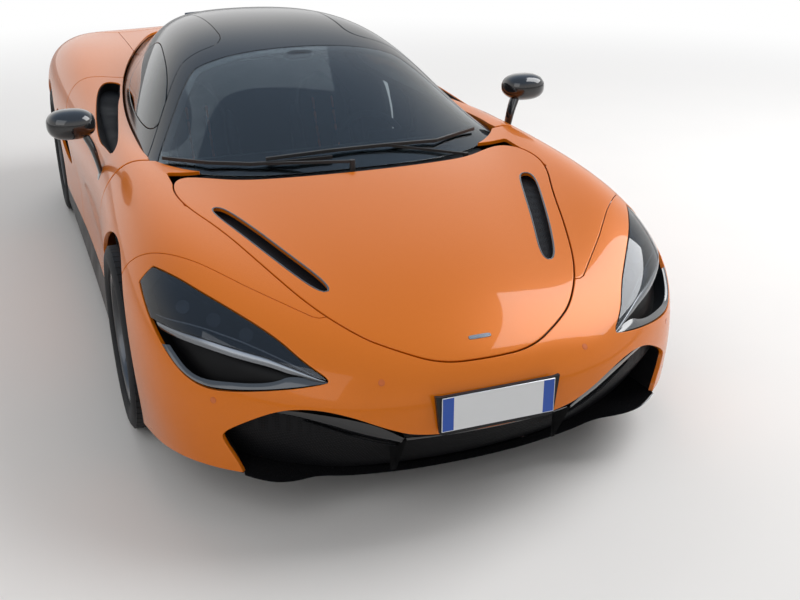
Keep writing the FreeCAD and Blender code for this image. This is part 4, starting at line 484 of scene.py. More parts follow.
# cutting the surface along lines
def closedLine(corners, axes, rounding=3, margin=70.0):  # signed distance to a rounded closed line, negative inside
    c = np.array(corners, float)
    for _ in range(rounding):
        following = np.roll(c, -1, axis=0)
        c = np.stack([c * .75 + following * .25, c * .25 + following * .75], 1).reshape(-1, 2)
    a, b = c, np.roll(c, -1, axis=0)
    run = b - a
    size = (run ** 2).sum(1) + 1e-12
    low, high = c.min(0) - margin, c.max(0) + margin

    def value(points):
        uv = points[:, list(axes)]
        out = np.full(len(uv), 999.0)
        near = np.nonzero(((uv > low) & (uv < high)).all(1))[0]
        for start in range(0, len(near), 3000):
            part = near[start:start + 3000]
            q = uv[part]
            away = q[:, None] - a[None]
            t = np.clip((away * run).sum(2) / size, 0, 1)
            best = np.sqrt(((away - run * t[:, :, None]) ** 2).sum(2).min(1))
            u, v = q[:, 0:1], q[:, 1:2]
            crosses = (a[None, :, 1] > v) != (b[None, :, 1] > v)
            step = np.where(np.abs(run[:, 1]) < 1e-12, 1e-12, run[:, 1])
            hits = crosses & (u < a[None, :, 0] + (v - a[None, :, 1]) * run[None, :, 0] / step)
            out[part] = np.where(hits.sum(1) % 2 == 1, -best, best)
        return out

    value.line = c
    return value


def planLine(half):  # seen from above, from (x, place along the car) corners of the left half
    left = [(x, float(along(at))) for x, at in half]
    right = [(-x, y) for x, y in reversed(left)]
    if left[0][0] == 0:
        right = right[:-1]
    if left[-1][0] == 0:
        right = right[1:]
    return closedLine(left + right, (0, 1))


def frontLine(half):  # seen from the front, from (x, height) corners of the left half
    return closedLine(half + [(-x, z) for x, z in reversed(half[1:-1])], (0, 2))


def sideLine(corners):
    return closedLine([(float(along(at)), z) for at, z in corners], (1, 2))


def inside(line, gap=0.0):
    return lambda p: line(p) + gap


def outside(line, gap=0.0):
    return lambda p: gap - line(p)


def aheadOf(table, key=0):
    xs, ys = zip(*table)
    return lambda p: p[:, 1] - along(np.interp(np.abs(p[:, key]), xs, ys))


def behindOf(table, key=0):
    keep = aheadOf(table, key)
    return lambda p: -keep(p)


def aheadAt(place):
    return aheadOf([(0, place), (1, place)])


def behindAt(place):
    return behindOf([(0, place), (1, place)])


def leftHalf(p):
    return -p[:, 0]


def aboveZ(z):
    return lambda p: z - p[:, 2]


def belowZ(z):
    return lambda p: p[:, 2] - z


def beyondX(x):
    return lambda p: x - np.abs(p[:, 0])


def withinX(x):
    return lambda p: np.abs(p[:, 0]) - x


def clearOfWheel(axle, radius):
    return lambda p: radius + car["archRoom"] - np.hypot(p[:, 1] - axle, p[:, 2] - radius)


def clip(skin, keep, snap=.24):  # what lies where keep is negative, cut exactly on its zero line
    points, normals, quads, polys, rim = skin
    if not len(points):
        return skin
    values = keep(points)
    if values.max() <= 0:
        return skin
    sides = values[quads] if len(quads) else np.zeros((0, 4))
    whole = (sides < 0).all(1)
    none = (sides >= 0).all(1)
    work = [tuple(q) for q in quads[~whole & ~none].tolist()] + [g for g in polys if (values[list(g)] < 0).any()]
    crossing = sorted({(min(g[k], g[k - 1]), max(g[k], g[k - 1])) for g in work for k in range(len(g))
                       if values[g[k]] * values[g[k - 1]] < 0})
    points, normals, rim, values = points.copy(), normals.copy(), rim.copy(), values.copy()
    if crossing:
        edges = np.array(crossing)
        a, b = points[edges[:, 0]], points[edges[:, 1]]
        positive = values[edges[:, 0]] > 0
        low, high = np.zeros(len(edges)), np.ones(len(edges))
        for _ in range(13):
            t = (low + high) / 2
            same = (keep(a + (b - a) * t[:, None]) > 0) == positive
            low, high = np.where(same, t, low), np.where(same, high, t)
        t = (low + high) / 2
        best = {}
        for (i, j), share in zip(crossing, t.tolist()):
            for end, other, part in ((i, j, share), (j, i, 1 - share)):
                if part < snap and not rim[end] and part < best.get(end, (1.0,))[0]:
                    best[end] = (part, other)
        before = points.copy()
        for end, (part, other) in best.items():
            points[end] = before[end] + (before[other] - before[end]) * part
            values[end] = 0.0
            rim[end] = True
        place = {}
        freshPoints, freshNormals = [], []
        for (i, j), share in zip(crossing, t.tolist()):
            if i in best or j in best:
                continue
            place[(i, j)] = len(points) + len(freshPoints)
            freshPoints.append(before[i] + (before[j] - before[i]) * share)
            normal = normals[i] + (normals[j] - normals[i]) * share
            freshNormals.append(normal / max(np.linalg.norm(normal), 1e-9))
        if freshPoints:
            points = np.vstack([points, freshPoints])
            normals = np.vstack([normals, freshNormals])
            rim = np.concatenate([rim, np.ones(len(freshPoints), bool)])
    else:
        place = {}
    zero = np.nonzero(values[:len(skin[0])] == 0)[0]
    rim[zero] = True
    kept = []
    for g in work:
        outline = []
        for k, i in enumerate(g):
            j = g[(k + 1) % len(g)]
            if values[i] <= 0:
                outline.append(i)
            key = (min(i, j), max(i, j))
            if values[i] * values[j] < 0 and key in place:
                outline.append(place[key])
        if len(outline) > 2 and any(n >= len(values) or values[n] < 0 for n in outline):
            kept.append(tuple(outline))
    return compact(points, normals, quads[whole], kept, rim)


def compact(points, normals, quads, polys, rim):
    used = np.zeros(len(points), bool)
    used[quads.ravel()] = True
    if polys:
        used[np.concatenate([np.array(g) for g in polys])] = True
    place = np.cumsum(used) - 1
    quads = place[quads] if len(quads) else quads
    return points[used], normals[used], quads, [tuple(int(place[i]) for i in g) for g in polys], rim[used]


def region(skin, *keeps):
    for keep in keeps:
        skin = clip(skin, keep)
    return skin


def mirrorSkin(skin):
    points, normals, quads, polys, rim = skin
    flip = np.array([-1.0, 1.0, 1.0])
    return points * flip, normals * flip, quads[:, ::-1], [tuple(reversed(g)) for g in polys], rim


def bothOf(skin):
    return skin, mirrorSkin(skin)


def weld(first, second, places=1):  # two skins as one, joined where their points coincide
    points = np.vstack([first[0], second[0]])
    normals = np.vstack([first[1], second[1]])
    shift = len(first[0])
    keys = {}
    place = np.arange(len(points))
    for i in np.nonzero(np.concatenate([first[4], second[4]]))[0].tolist():
        key = tuple(np.round(points[i], places).tolist())
        place[i] = keys.setdefault(key, i)
    quads = place[np.vstack([first[2], second[2] + shift])]
    polys = [tuple(int(place[i]) for i in g) for g in list(first[3]) + [tuple(i + shift for i in g) for g in second[3]]]
    polys = [tuple(i for k, i in enumerate(g) if i != g[k - 1]) for g in polys]
    polys = [g for g in polys if len(g) > 2]
    rim = np.concatenate([first[4], second[4]])
    return compact(points, normals, quads, polys, rim)


def bothHalves(left):
    points = left[0].copy()
    centre = np.abs(points[:, 0]) < 0.02
    points[centre, 0] = 0.0
    normals = left[1].copy()
    normals[centre, 0] = 0.0
    half = (points, normals, left[2], left[3], left[4] | centre)
    return weld(half, mirrorSkin(half), 3)


# shut lines, as in the part's own source; the lamp and intake lines follow the photograph more closely
lines = {
    "bonnet": [(0, -.925), (150, -.915), (265, -.855), (352, -.790), (450, -.650), (532, -.443), (606, -.227),
               (680, -.06), (704, .025), (690, .075), (645, .099), (580, .096), (450, .062), (300, .042), (150, .030),
               (0, .026)],
    "bumper": [(445, -.70), (616, -.523), (721, -.403), (850, -.27), (935, -.19), (970, -.16)],
    "doorFront": [(235, .205), (400, .190), (600, .180), (760, .180), (860, .186)],
    "fenderRear": [(235, .205), (400, .190), (600, .180), (720, .1798), (770, .1772), (860, .1832)],
    "frontLow": [(-2300, 207), (-2035, 206), (-1918, 202), (-1809, 194), (-1597, 168), (-1500, 152)],
    "doorRear": [(235, .600), (400, .635), (600, .685), (760, .722), (860, .735), (1000, .735), (1200, .70)],
    "tail": [(100, 1.56), (420, 1.58), (700, 1.66), (900, 1.78)],
    "lamp": [(458, 517), (520, 558), (576, 608), (670, 656), (750, 690), (800, 709), (858, 716), (897, 695), (902, 640),
             (892, 585), (868, 530), (836, 488), (788, 466), (720, 472), (640, 485), (560, 498), (500, 509)],
    "intake": [(0, 340), (235, 347), (330, 384), (420, 424), (510, 444), (600, 436), (680, 396), (760, 336), (748, 300),
               (728, 262), (704, 205), (694, 150), (690, 100), (0, 100)],
    "duct": [(845, .262), (818, .285), (800, .319), (775, .39), (745, .484), (715, .57), (684, .626), (650, .686),
             (700, .705), (752, .686), (792, .626), (827, .532), (852, .446), (862, .371), (852, .322)],
    "screen": [(0, .03), (500, .05), (690, .14), (712, .19), (478, .355), (400, .362), (0, .365)],
    "doorTop": [(790, .10), (755, .20), (515, .385), (440, .405), (284, .412), (284, .50), (284, .80), (790, .80)],
    "sideGlass": [(.262, 862), (.335, 972), (.42, 1052), (.52, 1085), (.60, 1082), (.655, 1040), (.675, 960),
                  (.665, 888), (.55, 862), (.40, 855)],
    "rearGlass": [(0, .755), (180, .757), (255, .78), (235, .86), (170, .895), (0, .90)],
    "wing": [(0, 1.66), (420, 1.655), (600, 1.66), (640, 1.72), (630, 1.90), (560, 1.93), (0, 1.935)],
    "rearMesh": [(0, 800), (420, 798), (600, 775), (690, 720), (660, 620), (520, 545), (300, 520), (0, 515)],
    "diffuser": [(0, 400), (420, 398), (600, 360), (680, 280), (700, 100), (0, 100)],
    "sideIntake": [(.735, 640), (.80, 670), (.86, 668), (.85, 560), (.80, 470), (.735, 440), (.70, 470), (.71, 560)],
    "vent": [(606, -.050), (566, -.045), (505, -.20), (440, -.38), (368, -.56), (372, -.61), (412, -.585), (478, -.44),
             (548, -.26), (604, -.11)],
}
bonnetLine, wingLine, screenLine, rearGlassLine = (
    planLine(lines[k]) for k in ("bonnet", "wing", "screen", "rearGlass"))
lampLine = closedLine(lines["lamp"], (0, 2))
intakeLine, rearMeshLine, diffuserLine = (frontLine(lines[k]) for k in ("intake", "rearMesh", "diffuser"))
sideIntakeLine, sideGlassLine = sideLine(lines["sideIntake"]), sideLine(lines["sideGlass"])
ventLine, ductLine, doorTopLine = (closedLine([(x, float(along(at))) for x, at in lines[k]], (0, 1))
                                   for k in ("vent", "duct", "doorTop"))


def canopyFoot(skin):  # the line where the canopy meets the body, seen from above
    following = dict(zip(*(ids.tolist() for ids in rimEdges(skin))))
    first = next(iter(following))
    order, i = [first], following[first]
    while i != first:
        order.append(i)
        i = following[i]
    return closedLine(skin[0][order][::2, :2], (0, 1), 0)


footLine = canopyFoot(canopy)


def wingOutside(p):
    return np.where(p[:, 2] > car["wingLow"], np.maximum(-wingLine(p), -99.0), -99.0)


def overLip(p):  # what lies above the front bumper's lower edge
    ys, zs = zip(*lines["frontLow"])
    return np.interp(p[:, 1], ys, zs) - p[:, 2]


def inDuct(p):  # the air channel along the top of the door
    return np.maximum(ductLine(p), 14 - footLine(p))


def cutPanels():
    shell = region(body, leftHalf, outside(footLine, car["footGap"]))
    frontArch, rearArch = (clearOfWheel(car[end + "Axle"], car[end + "Tyre"]) for end in ("front", "rear"))
    doorFront, doorRear = behindOf(lines["doorFront"], 2), aheadOf(lines["doorRear"], 2)
    doorFoot = aboveZ(car["sillTop"])
    found, hole = {}, -seams["hole"]
    front = region(shell, aheadAt(.3))
    hood = region(front, inside(bonnetLine))
    found["bonnet"] = region(hood, outside(ventLine))
    around = region(front, outside(bonnetLine))
    nose = region(around, aheadOf(lines["bumper"]), frontArch)
    tip, side = region(nose, aheadAt(-.33)), region(nose, behindAt(-.33))
    found["bumper"] = weld(region(tip, outside(intakeLine), outside(lampLine), overLip), region(side, overLip))
    found["underLip"] = region(nose, lambda p: -10 - overLip(p), lambda p: -1780 - p[:, 1])
    found["lampHole"] = region(tip, inside(lampLine, hole))
    found["intakeHole"] = region(tip, inside(intakeLine, hole))
    found["intake"] = region(tip, inside(intakeLine, -seams["lap"]))
    found["ventHole"] = region(hood, inside(ventLine, hole))
    fender = region(around, behindOf(lines["bumper"]), aheadOf(lines["fenderRear"], 2), frontArch, doorFoot)
    found["fender"] = region(fender, lambda p: np.minimum(
        np.minimum(690 - p[:, 0], p[:, 1] - along(-.04)), np.maximum(560 - p[:, 0], -870 - p[:, 1])))
    found["scuttle"] = region(body, leftHalf, aheadAt(.3), outside(bonnetLine), withinX(655.0), behindAt(-.02),
                              aheadAt(.13), lambda p: np.minimum(np.abs(p[:, 0]) - 588, p[:, 1] + 965))
    corner = lambda p: np.minimum(724 - p[:, 0], -637.5 - p[:, 1])
    whole = region(body, leftHalf, outside(footLine, .3), doorFront, doorRear, doorFoot, corner)
    found["door"] = region(whole, lambda p: -inDuct(p))
    found["duct"] = region(whole, lambda p: inDuct(p) + 3)
    rear = region(shell, behindAt(.5), behindOf(lines["doorRear"], 2), rearArch, doorFoot)
    found["sideHole"] = region(rear, beyondX(600), inside(sideIntakeLine, hole))
    quarter = region(rear, aheadOf(lines["tail"], 2), wingOutside)
    found["quarter"] = region(quarter, beyondX(500), outside(sideIntakeLine))
    found["tailDeck"] = region(quarter, withinX(500))
    found["wing"] = region(shell, aboveZ(car["wingLow"]), inside(wingLine))
    found["skirt"] = region(shell, behindAt(0), aheadAt(1), belowZ(car["sillTop"]), frontArch, rearArch)
    tail = region(shell, behindOf(lines["tail"], 2), wingOutside)
    tailSkin = region(tail, outside(rearMeshLine), outside(diffuserLine))
    found["rearBumper"] = region(tailSkin, aboveZ(car["tailSplit"]))
    found["rearLower"] = region(tailSkin, belowZ(car["tailSplit"]))
    found["rearMesh"] = region(tail, inside(rearMeshLine))
    found["meshHole"] = region(tail, inside(rearMeshLine, hole))
    found["diffuserHole"] = region(tail, inside(diffuserLine, hole))
    found["tailLamp"] = region(tail, inside(rearMeshLine, 8.0), lambda p: -28 - rearMeshLine(p), beyondX(330),
                               aboveZ(600))
    top = region(canopy, leftHalf)
    found["screen"] = region(top, inside(screenLine))
    cabinTop = region(top, doorRear, inside(doorTopLine))
    found["doorFrame"] = region(cabinTop, outside(sideGlassLine))
    found["doorGlass"] = region(cabinTop, inside(sideGlassLine, .8), lambda p: -419.5 - p[:, 1])
    found["screenBand"] = region(found["screen"], outside(screenLine, -40.0))
    found["roof"] = region(top, outside(screenLine), doorRear, outside(doorTopLine))
    found["rearDeck"] = region(top, behindOf(lines["doorRear"], 2), aheadAt(.955), outside(rearGlassLine))
    found["rearGlass"] = region(top, inside(rearGlassLine))
    found["engineCover"] = region(top, behindAt(.955))
    underDoor = lambda p: np.where((doorFront(p) < 0) & (doorRear(p) < 0), doorFoot(p), 99.0)
    overFrame = lambda p: np.where(np.abs(p[:, 0]) > car["doorFrameInner"], doorRear(p), 99.0)
    moving = {"bumper": [inside(bonnetLine)], "fender": [inside(bonnetLine), behindOf(lines["fenderRear"], 2)],
              "skirt": [underDoor], "scuttle": [inside(bonnetLine)],
              "quarter": [doorRear, wingOutside], "tailDeck": [wingOutside], "rearBumper": [wingOutside],
              "roof": [overFrame, inside(doorTopLine)], "rearDeck": [overFrame],
              "doorFrame": [doorRear, inside(doorTopLine)], "door": [doorFront, doorRear, doorFoot, corner],
              "bonnet": [inside(bonnetLine)], "wing": [inside(wingLine)]}
    return found, moving


skins, movingCuts = cutPanels()
print("panels cut:", {name: len(skin[2]) + len(skin[3]) for name, skin in skins.items()})


# closed pieces from skins
class Piece:  # gathers points, faces, materials and corner normals of one object
    def __init__(self, name):
        self.name, self.points, self.faces, self.slots, self.normals = name, [], [], [], []
        self.count, self.materials = 0, []

    def slotOf(self, material):
        if material not in self.materials:
            self.materials.append(material)
        return self.materials.index(material)

    def add(self, points, faces, material, normals=None):  # normals: one for each face corner, or none for smooth ones
        points = np.asarray(points, float)
        self.points.append(points)
        shift, slot = self.count, self.slotOf(material)
        self.faces += [tuple(i + shift for i in f) for f in faces]
        self.slots += [slot] * len(faces)
        corners = sum(len(f) for f in faces)
        self.normals.append(np.zeros((corners, 3)) if normals is None else np.asarray(normals, float))
        self.count += len(points)
        return self

    def make(self, body, nodes=(), angle=38.0):
        mesh = bpy.data.meshes.new(self.name)
        mesh.from_pydata((np.vstack(self.points) * .001).tolist(), [], self.faces)
        for material in self.materials:
            mesh.materials.append(material)
        mesh.polygons.foreach_set("material_index", self.slots)
        mesh.polygons.foreach_set("use_smooth", [True] * len(self.faces))
        mesh.set_sharp_from_angle(angle=math.radians(angle))
        given = np.vstack(self.normals)
        if given.any():
            mesh.normals_split_custom_set(given.tolist())
        mesh.update()
        obj = newObject(self.name, mesh)
        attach(obj, body)
        if nodes:
            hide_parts(*nodes)
        return obj


def rimWays(skin, starts, ends):  # at each rim point, the mitred way into the panel
    points, normals = skin[0], skin[1]
    ways = {}
    for a, b in zip(starts.tolist(), ends.tolist()):
        run = points[b] - points[a]
        size = np.linalg.norm(run)
        if size < 1e-6:
            continue
        for i in (a, b):
            way = np.cross(normals[i], run)
            ways.setdefault(i, []).append(way / max(np.linalg.norm(way), 1e-9))
    found = {}
    for i, several in ways.items():
        total = np.sum(several, axis=0) / len(several)
        size = np.linalg.norm(total)
        found[i] = total / max(size, .3) / max(size, .62) if size > 1e-6 else several[0] * 0
    return found


def drawIn(skin, ways, amounts):  # moves the rim in, and the skin near it with a soft falloff
    points, normals, quads, polys, rim = skin
    rimIds = [i for i in ways if amounts[i] > 0]
    if not rimIds:
        return skin
    tree = kdtree.KDTree(len(rimIds))
    for k, i in enumerate(rimIds):
        tree.insert(points[i], k)
    tree.balance()
    reach = max(amounts[i] for i in rimIds) * 5
    low, high = points[rimIds].min(0) - reach, points[rimIds].max(0) + reach
    moved = points.copy()
    for i in np.nonzero(((points > low) & (points < high)).all(1))[0].tolist():
        if i in ways:
            moved[i] = points[i] + ways[i] * amounts[i]
            continue
        near = tree.find_n(points[i], 2)
        distance = near[0][2]
        if distance > reach:
            continue
        weights = [1 / (n[2] + .5) for n in near]
        push = sum(ways[rimIds[n[1]]] * amounts[rimIds[n[1]]] * w for n, w in zip(near, weights)) / sum(weights)
        moved[i] = points[i] + push * (1 - distance / reach)
    return moved, normals, quads, polys, rim


def closedPanel(piece, skin, thickness, material, cuts=(), gap=None, roll=None, depth=0.0, under=None, everyGap=None):
    points, normals, quads, polys, _ = skin
    starts, ends = rimEdges(skin)
    ways = rimWays(skin, starts, ends)
    roll = seams["roll"] if roll is None else roll
    ids = np.array(sorted(ways))
    gaps = np.full(len(ids), seams["fixedHalf"] if gap is None else gap)
    for cut in cuts:
        gaps[np.abs(cut(points[ids])) < .6] = seams["shutHalf"]
    if everyGap is not None:
        gaps[:] = everyGap
    gapOf = dict(zip(ids.tolist(), gaps.tolist()))
    amounts = {i: g + roll for i, g in gapOf.items()}
    drawn = drawIn(skin, ways, amounts)[0]
    top = drawn - normals * depth
    count = len(points)
    base = points[ids] - normals[ids] * depth
    way = np.array([ways[i] for i in ids])
    n = normals[ids]
    out = -way / np.maximum(np.linalg.norm(way, axis=1), 1e-9)[:, None]
    g = gaps[:, None]
    ringB = base + way * (g + .29 * roll) - n * .29 * roll
    ringC = base + way * g - n * roll
    ringD = base + way * g - n * thickness
    slant = (n + out) / math.sqrt(2)
    back = top - normals * thickness
    back[ids] = ringD
    place = {i: k for k, i in enumerate(ids.tolist())}
    everything = np.vstack([top, ringB, ringC, back])
    m = len(ids)
    edgeList = [(place[a], place[b], a, b) for a, b in zip(starts.tolist(), ends.tolist()) if a in place and b in place]
    topFaces = [tuple(q) for q in quads.tolist()] + list(polys)
    allNormals = [normals[np.array(quads).ravel()] if len(quads) else np.zeros((0, 3))]
    if polys:
        allNormals.append(normals[np.concatenate([np.array(p) for p in polys])])
    edgeFaces, edgeNormals = [], []
    for p, q, a, b in edgeList:
        edgeFaces += [(b, a, count + p, count + q), (count + q, count + p, count + m + p, count + m + q),
                      (count + m + q, count + m + p, count + 2 * m + a, count + 2 * m + b)]
        edgeNormals += [n[q], n[p], slant[p], slant[q], slant[q], slant[p], out[p], out[q], out[q], out[p], out[p],
                        out[q]]
    backFaces = [tuple(int(i) + count + 2 * m for i in reversed(f)) for f in topFaces]
    backNormals = -normals[np.concatenate([np.array(f[::-1]) for f in topFaces])]
    # one call keeps the shell closed; slots differ only if another under material is given
    shift = piece.count
    piece.add(everything, topFaces + edgeFaces, material, np.vstack(allNormals + [np.array(edgeNormals)]))
    slot = piece.slotOf(under or material)
    piece.faces += [tuple(i + shift for i in f) for f in backFaces]
    piece.slots += [slot] * len(backFaces)
    piece.normals.append(backNormals)
    return piece


def outwards(points, faces):  # the faces of a closed shape, turned to look out
    p = points - points.mean(0)
    volume = 0.0
    for size in {len(f) for f in faces}:
        f = np.array([g for g in faces if len(g) == size])
        for k in range(1, size - 1):
            volume += (p[f[:, 0]] * np.cross(p[f[:, k]], p[f[:, k + 1]])).sum()
    return faces if volume > 0 else [f[::-1] for f in faces]


def ringStrip(piece, rings, material, loop=False):  # a closed shape through rings of points of equal length
    n, rows = len(rings[0]), len(rings)
    points = np.vstack(rings)
    faces = [(r * n + k, r * n + (k + 1) % n, (r + 1) % rows * n + (k + 1) % n, (r + 1) % rows * n + k)
             for r in range(rows if loop else rows - 1) for k in range(n)]
    if not loop:
        faces += [tuple(range(n))[::-1], tuple((rows - 1) * n + k for k in range(n))]
    return piece.add(points, outwards(points, faces), material)


def tube(piece, path, radii, material, sides=12):  # a capped tube through the places
    path = np.asarray(path, float)
    radii = np.broadcast_to(np.asarray(radii, float), (len(path),))
    rings = []
    for k, p in enumerate(path):
        way = path[min(k + 1, len(path) - 1)] - path[max(k - 1, 0)]
        way = way / np.linalg.norm(way)
        side = np.cross(way, (0, 0, 1))
        if np.linalg.norm(side) < .05:
            side = np.cross(way, (1, 0, 0))
        side = side / np.linalg.norm(side)
        rise = np.cross(side, way)
        angles = np.arange(sides) * 2 * np.pi / sides
        rings.append(p + radii[k] * (np.cos(angles)[:, None] * side + np.sin(angles)[:, None] * rise))
    return ringStrip(piece, rings, material)


def roundPath(path, steps=3):  # corners of an open path cut to a smooth curve
    c = np.asarray(path, float)
    for _ in range(steps):
        middle = np.stack([c[:-1] * .75 + c[1:] * .25, c[:-1] * .25 + c[1:] * .75], 1).reshape(-1, c.shape[1])
        c = np.vstack([c[:1], middle[1:-1], c[-1:]])
    return c


def lathe(piece, profile, centre, material, steps=96):  # a closed (x, radius) profile turned about a wheel's axis
    profile = np.asarray(profile, float)
    n = len(profile)
    angles = np.arange(steps) * 2 * np.pi / steps
    points = np.stack([np.broadcast_to(profile[:, 0], (steps, n)), np.cos(angles)[:, None] * profile[:, 1],
                       np.sin(angles)[:, None] * profile[:, 1]], 2)
    faces = [(i * n + k, i * n + (k + 1) % n, (i + 1) % steps * n + (k + 1) % n, (i + 1) % steps * n + k)
             for i in range(steps) for k in range(n)]
    points = points.reshape(-1, 3)
    return piece.add(points + np.asarray(centre, float), outwards(points, faces), material)


def box(piece, low, high, material, c):  # c is the chamfer of all edges
    low, high = np.asarray(low, float), np.asarray(high, float)
    rings = []
    for z, inset in ((low[2], c), (low[2] + c, 0), (high[2] - c, 0), (high[2], c)):
        x0, x1, y0, y1 = low[0] + inset, high[0] - inset, low[1] + inset, high[1] - inset
        rings.append(np.array([(x0 + c, y0, z), (x1 - c, y0, z), (x1, y0 + c, z), (x1, y1 - c, z),
                               (x1 - c, y1, z), (x0 + c, y1, z), (x0, y1 - c, z), (x0, y0 + c, z)]))
    return ringStrip(piece, rings, material)


panels = {"skin": 14.0, "door": 50.0, "frame": 34.0, "glass": 6.0, "wing": 18.0}


def rimWall(piece, skin, high, low, thickness, material):  # a wall standing under the rim of a hole
    points, normals = skin[0], skin[1]
    starts, ends = rimEdges(skin)
    ways = rimWays(skin, starts, ends)
    ids = sorted(ways)
    place = {i: k for k, i in enumerate(ids)}
    p, n, way, m = points[ids], normals[ids], np.array([ways[i] for i in ids]), len(ids)
    rings = np.vstack([p - n * high, p - n * low, p - way * thickness - n * low, p - way * thickness - n * high])
    faces = []
    for a, b in ((place[i], place[j]) for i, j in zip(starts.tolist(), ends.tolist()) if i in place and j in place):
        for k in range(4):
            faces.append((a + k * m, b + k * m, b + (k + 1) % 4 * m, a + (k + 1) % 4 * m))
    return piece.add(rings, faces, material)


def tray(piece, skin, high, low, thickness, wall, floor):  # a recess: its walls and its floor
    rimWall(piece, skin, high, low, thickness, wall)
    return closedPanel(piece, skin, thickness, floor, depth=low - .5, everyGap=0.0, roll=.4)


def bothSides(piece, name, thickness, material, **values):
    for skin in bothOf(skins[name]):
        closedPanel(piece, skin, thickness, material, cuts=movingCuts.get(name, []), **values)
    return piece


def wholePanel(piece, name, thickness, material, **values):
    return closedPanel(piece, bothHalves(skins[name]), thickness, material, cuts=movingCuts.get(name, []), **values)


hinges = {"bonnetArm": (610.0, -905.0, 752.4), "bonnetPatch": -990.0, "patchDepth": 20.0,
          "doorNeck": [(786, -763, 789), (760, -756, 784), (738, -734, 776), (704, -702, 745), (704, -678, 744),
                       (764, -640, 770)]}
bonnet = wholePanel(Piece("bonnetPanel"), "bonnet", panels["skin"], paint, gap=0.0, under=satin)
for x in (-1, 1):
    armX, armY, armZ = hinges["bonnetArm"]
    patchZ = heightAt(bodyTree, armX, hinges["bonnetPatch"]) - hinges["patchDepth"]
    tube(bonnet, [(x * (armX - 10), armY, armZ), (x * (armX + 10), armY, armZ)], 11, steel, 24)
    tube(bonnet, roundPath([(x * armX, armY - 5, armZ), (x * armX, armY - 55, armZ + 1),
                            (x * armX, hinges["bonnetPatch"] + 20, patchZ - 12),
                            (x * armX, hinges["bonnetPatch"] - 30, patchZ)]), 7, steel)
bonnet.make("bonnet", ["bonnet"])
wholePanel(Piece("frontBumperShell"), "bumper", panels["skin"], paint, under=satin).make("car", ["front_bumper"])
bothSides(Piece("frontFenders"), "fender", panels["skin"], paint, under=satin).make("car", ["front_fenders"])
rearBody = bothSides(Piece("rearQuarters"), "quarter", panels["skin"], paint, under=satin)
wholePanel(rearBody, "tailDeck", panels["skin"], paint, under=satin).make("car", ["rear_fenders"])
tailShell = wholePanel(Piece("rearBumperShell"), "rearBumper", panels["skin"], paint, under=satin)
wholePanel(tailShell, "rearLower", panels["skin"], satin)
# the diffuser recess has a near-black floor, painted shade at its back
tray(tailShell, bothHalves(skins["diffuserHole"]), 6, 60, 3, satin, recessShadeBlack)
tailShell.make("car", ["rear_bumper"])
bothSides(Piece("sideSkirts"), "skirt", panels["skin"], satin).make("car", ["side_skirts"])
wholePanel(Piece("roofPanel"), "roof", panels["frame"], roofGloss, under=suede).make("car", ["roof"])
cover = wholePanel(Piece("engineCover"), "engineCover", panels["skin"], roofGloss)
wholePanel(cover, "rearDeck", panels["frame"], roofGloss).make("car", ["engine_cover"])
wholePanel(Piece("rearWing"), "wing", panels["wing"], paint).make("car", ["rear_wing"])
wholePanel(Piece("scuttlePanel"), "scuttle", 3.0, plastic, depth=30.0).make("car", ["scuttle"])
for side, turnOver, flip in (("left", lambda s: s, 1), ("right", mirrorSkin, -1)):
    door = closedPanel(Piece("door_" + side), turnOver(skins["door"]), panels["door"], paint, cuts=movingCuts["door"],
                       under=satin)
    closedPanel(door, turnOver(skins["doorFrame"]), panels["frame"], roofGloss, cuts=movingCuts["doorFrame"],
                under=suede)
    neck = roundPath(hinges["doorNeck"], 2) * (flip, 1, 1)
    tube(door, neck, 9, darkMetal)
    tube(door, [neck[0] + np.array([flip * .63, -.67, -.387]) * t for t in (-14, 14)], 11, steel, 24)
    # the duct's walls and floor are near-black, painted shade inside the channel
    tray(door, turnOver(skins["duct"]), 6, 44, 3, recessShadeBlack, recessShadeBlack)
    door.make("door_" + side, ["door_" + side])
    closedPanel(Piece("sideGlass_" + side), turnOver(skins["doorGlass"]), panels["glass"],
                darkGlass).make("door_" + side, ["door_glass_" + side])
wholePanel(Piece("windscreenGlass"), "screen", panels["glass"], tintedGlass).make("car", ["windscreen"])
wholePanel(Piece("rearGlassPane"), "rearGlass", panels["glass"], darkGlass).make("car", ["rear_glass"])
wholePanel(Piece("screenBorder"), "screenBand", 1.2, gloss, depth=panels["glass"] + .3, roll=.3,
           everyGap=2.0).make("car")
print("panels made")


surfaceRays = {"front": (-4000, (0, 1, 0)), "rear": (4000, (0, -1, 0))}  # from outside, towards the car


def onEnd(end, x, z, depth=0.0):  # a place on the body seen from the front or the rear, sunk into it
    startY, way = surfaceRays[end]
    hit = bodyTree.ray_cast(Vector((float(x), startY, float(z))), Vector(way))
    if hit[0] is None:
        raise ValueError(f"nothing at {x}, {z}")
    return np.array(hit[0]) - np.array(hit[1]) * depth


def onTop(tree, x, y, depth=0.0):
    hit = castDown(tree, x, y)
    return np.array(hit[0]) - np.array(hit[1]) * depth


def crossOf(out, up=(0, 0, 1)):  # level and square to a direction
    across = np.cross(out, up)
    return across / np.linalg.norm(across)


def evenly(line, count):
    line = np.asarray(line, float)
    run = np.concatenate([[0], np.cumsum(np.linalg.norm(np.diff(line, axis=0), axis=1))])
    at = np.linspace(0, run[-1], count)
    return np.stack([np.interp(at, run, line[:, k]) for k in range(line.shape[1])], 1)


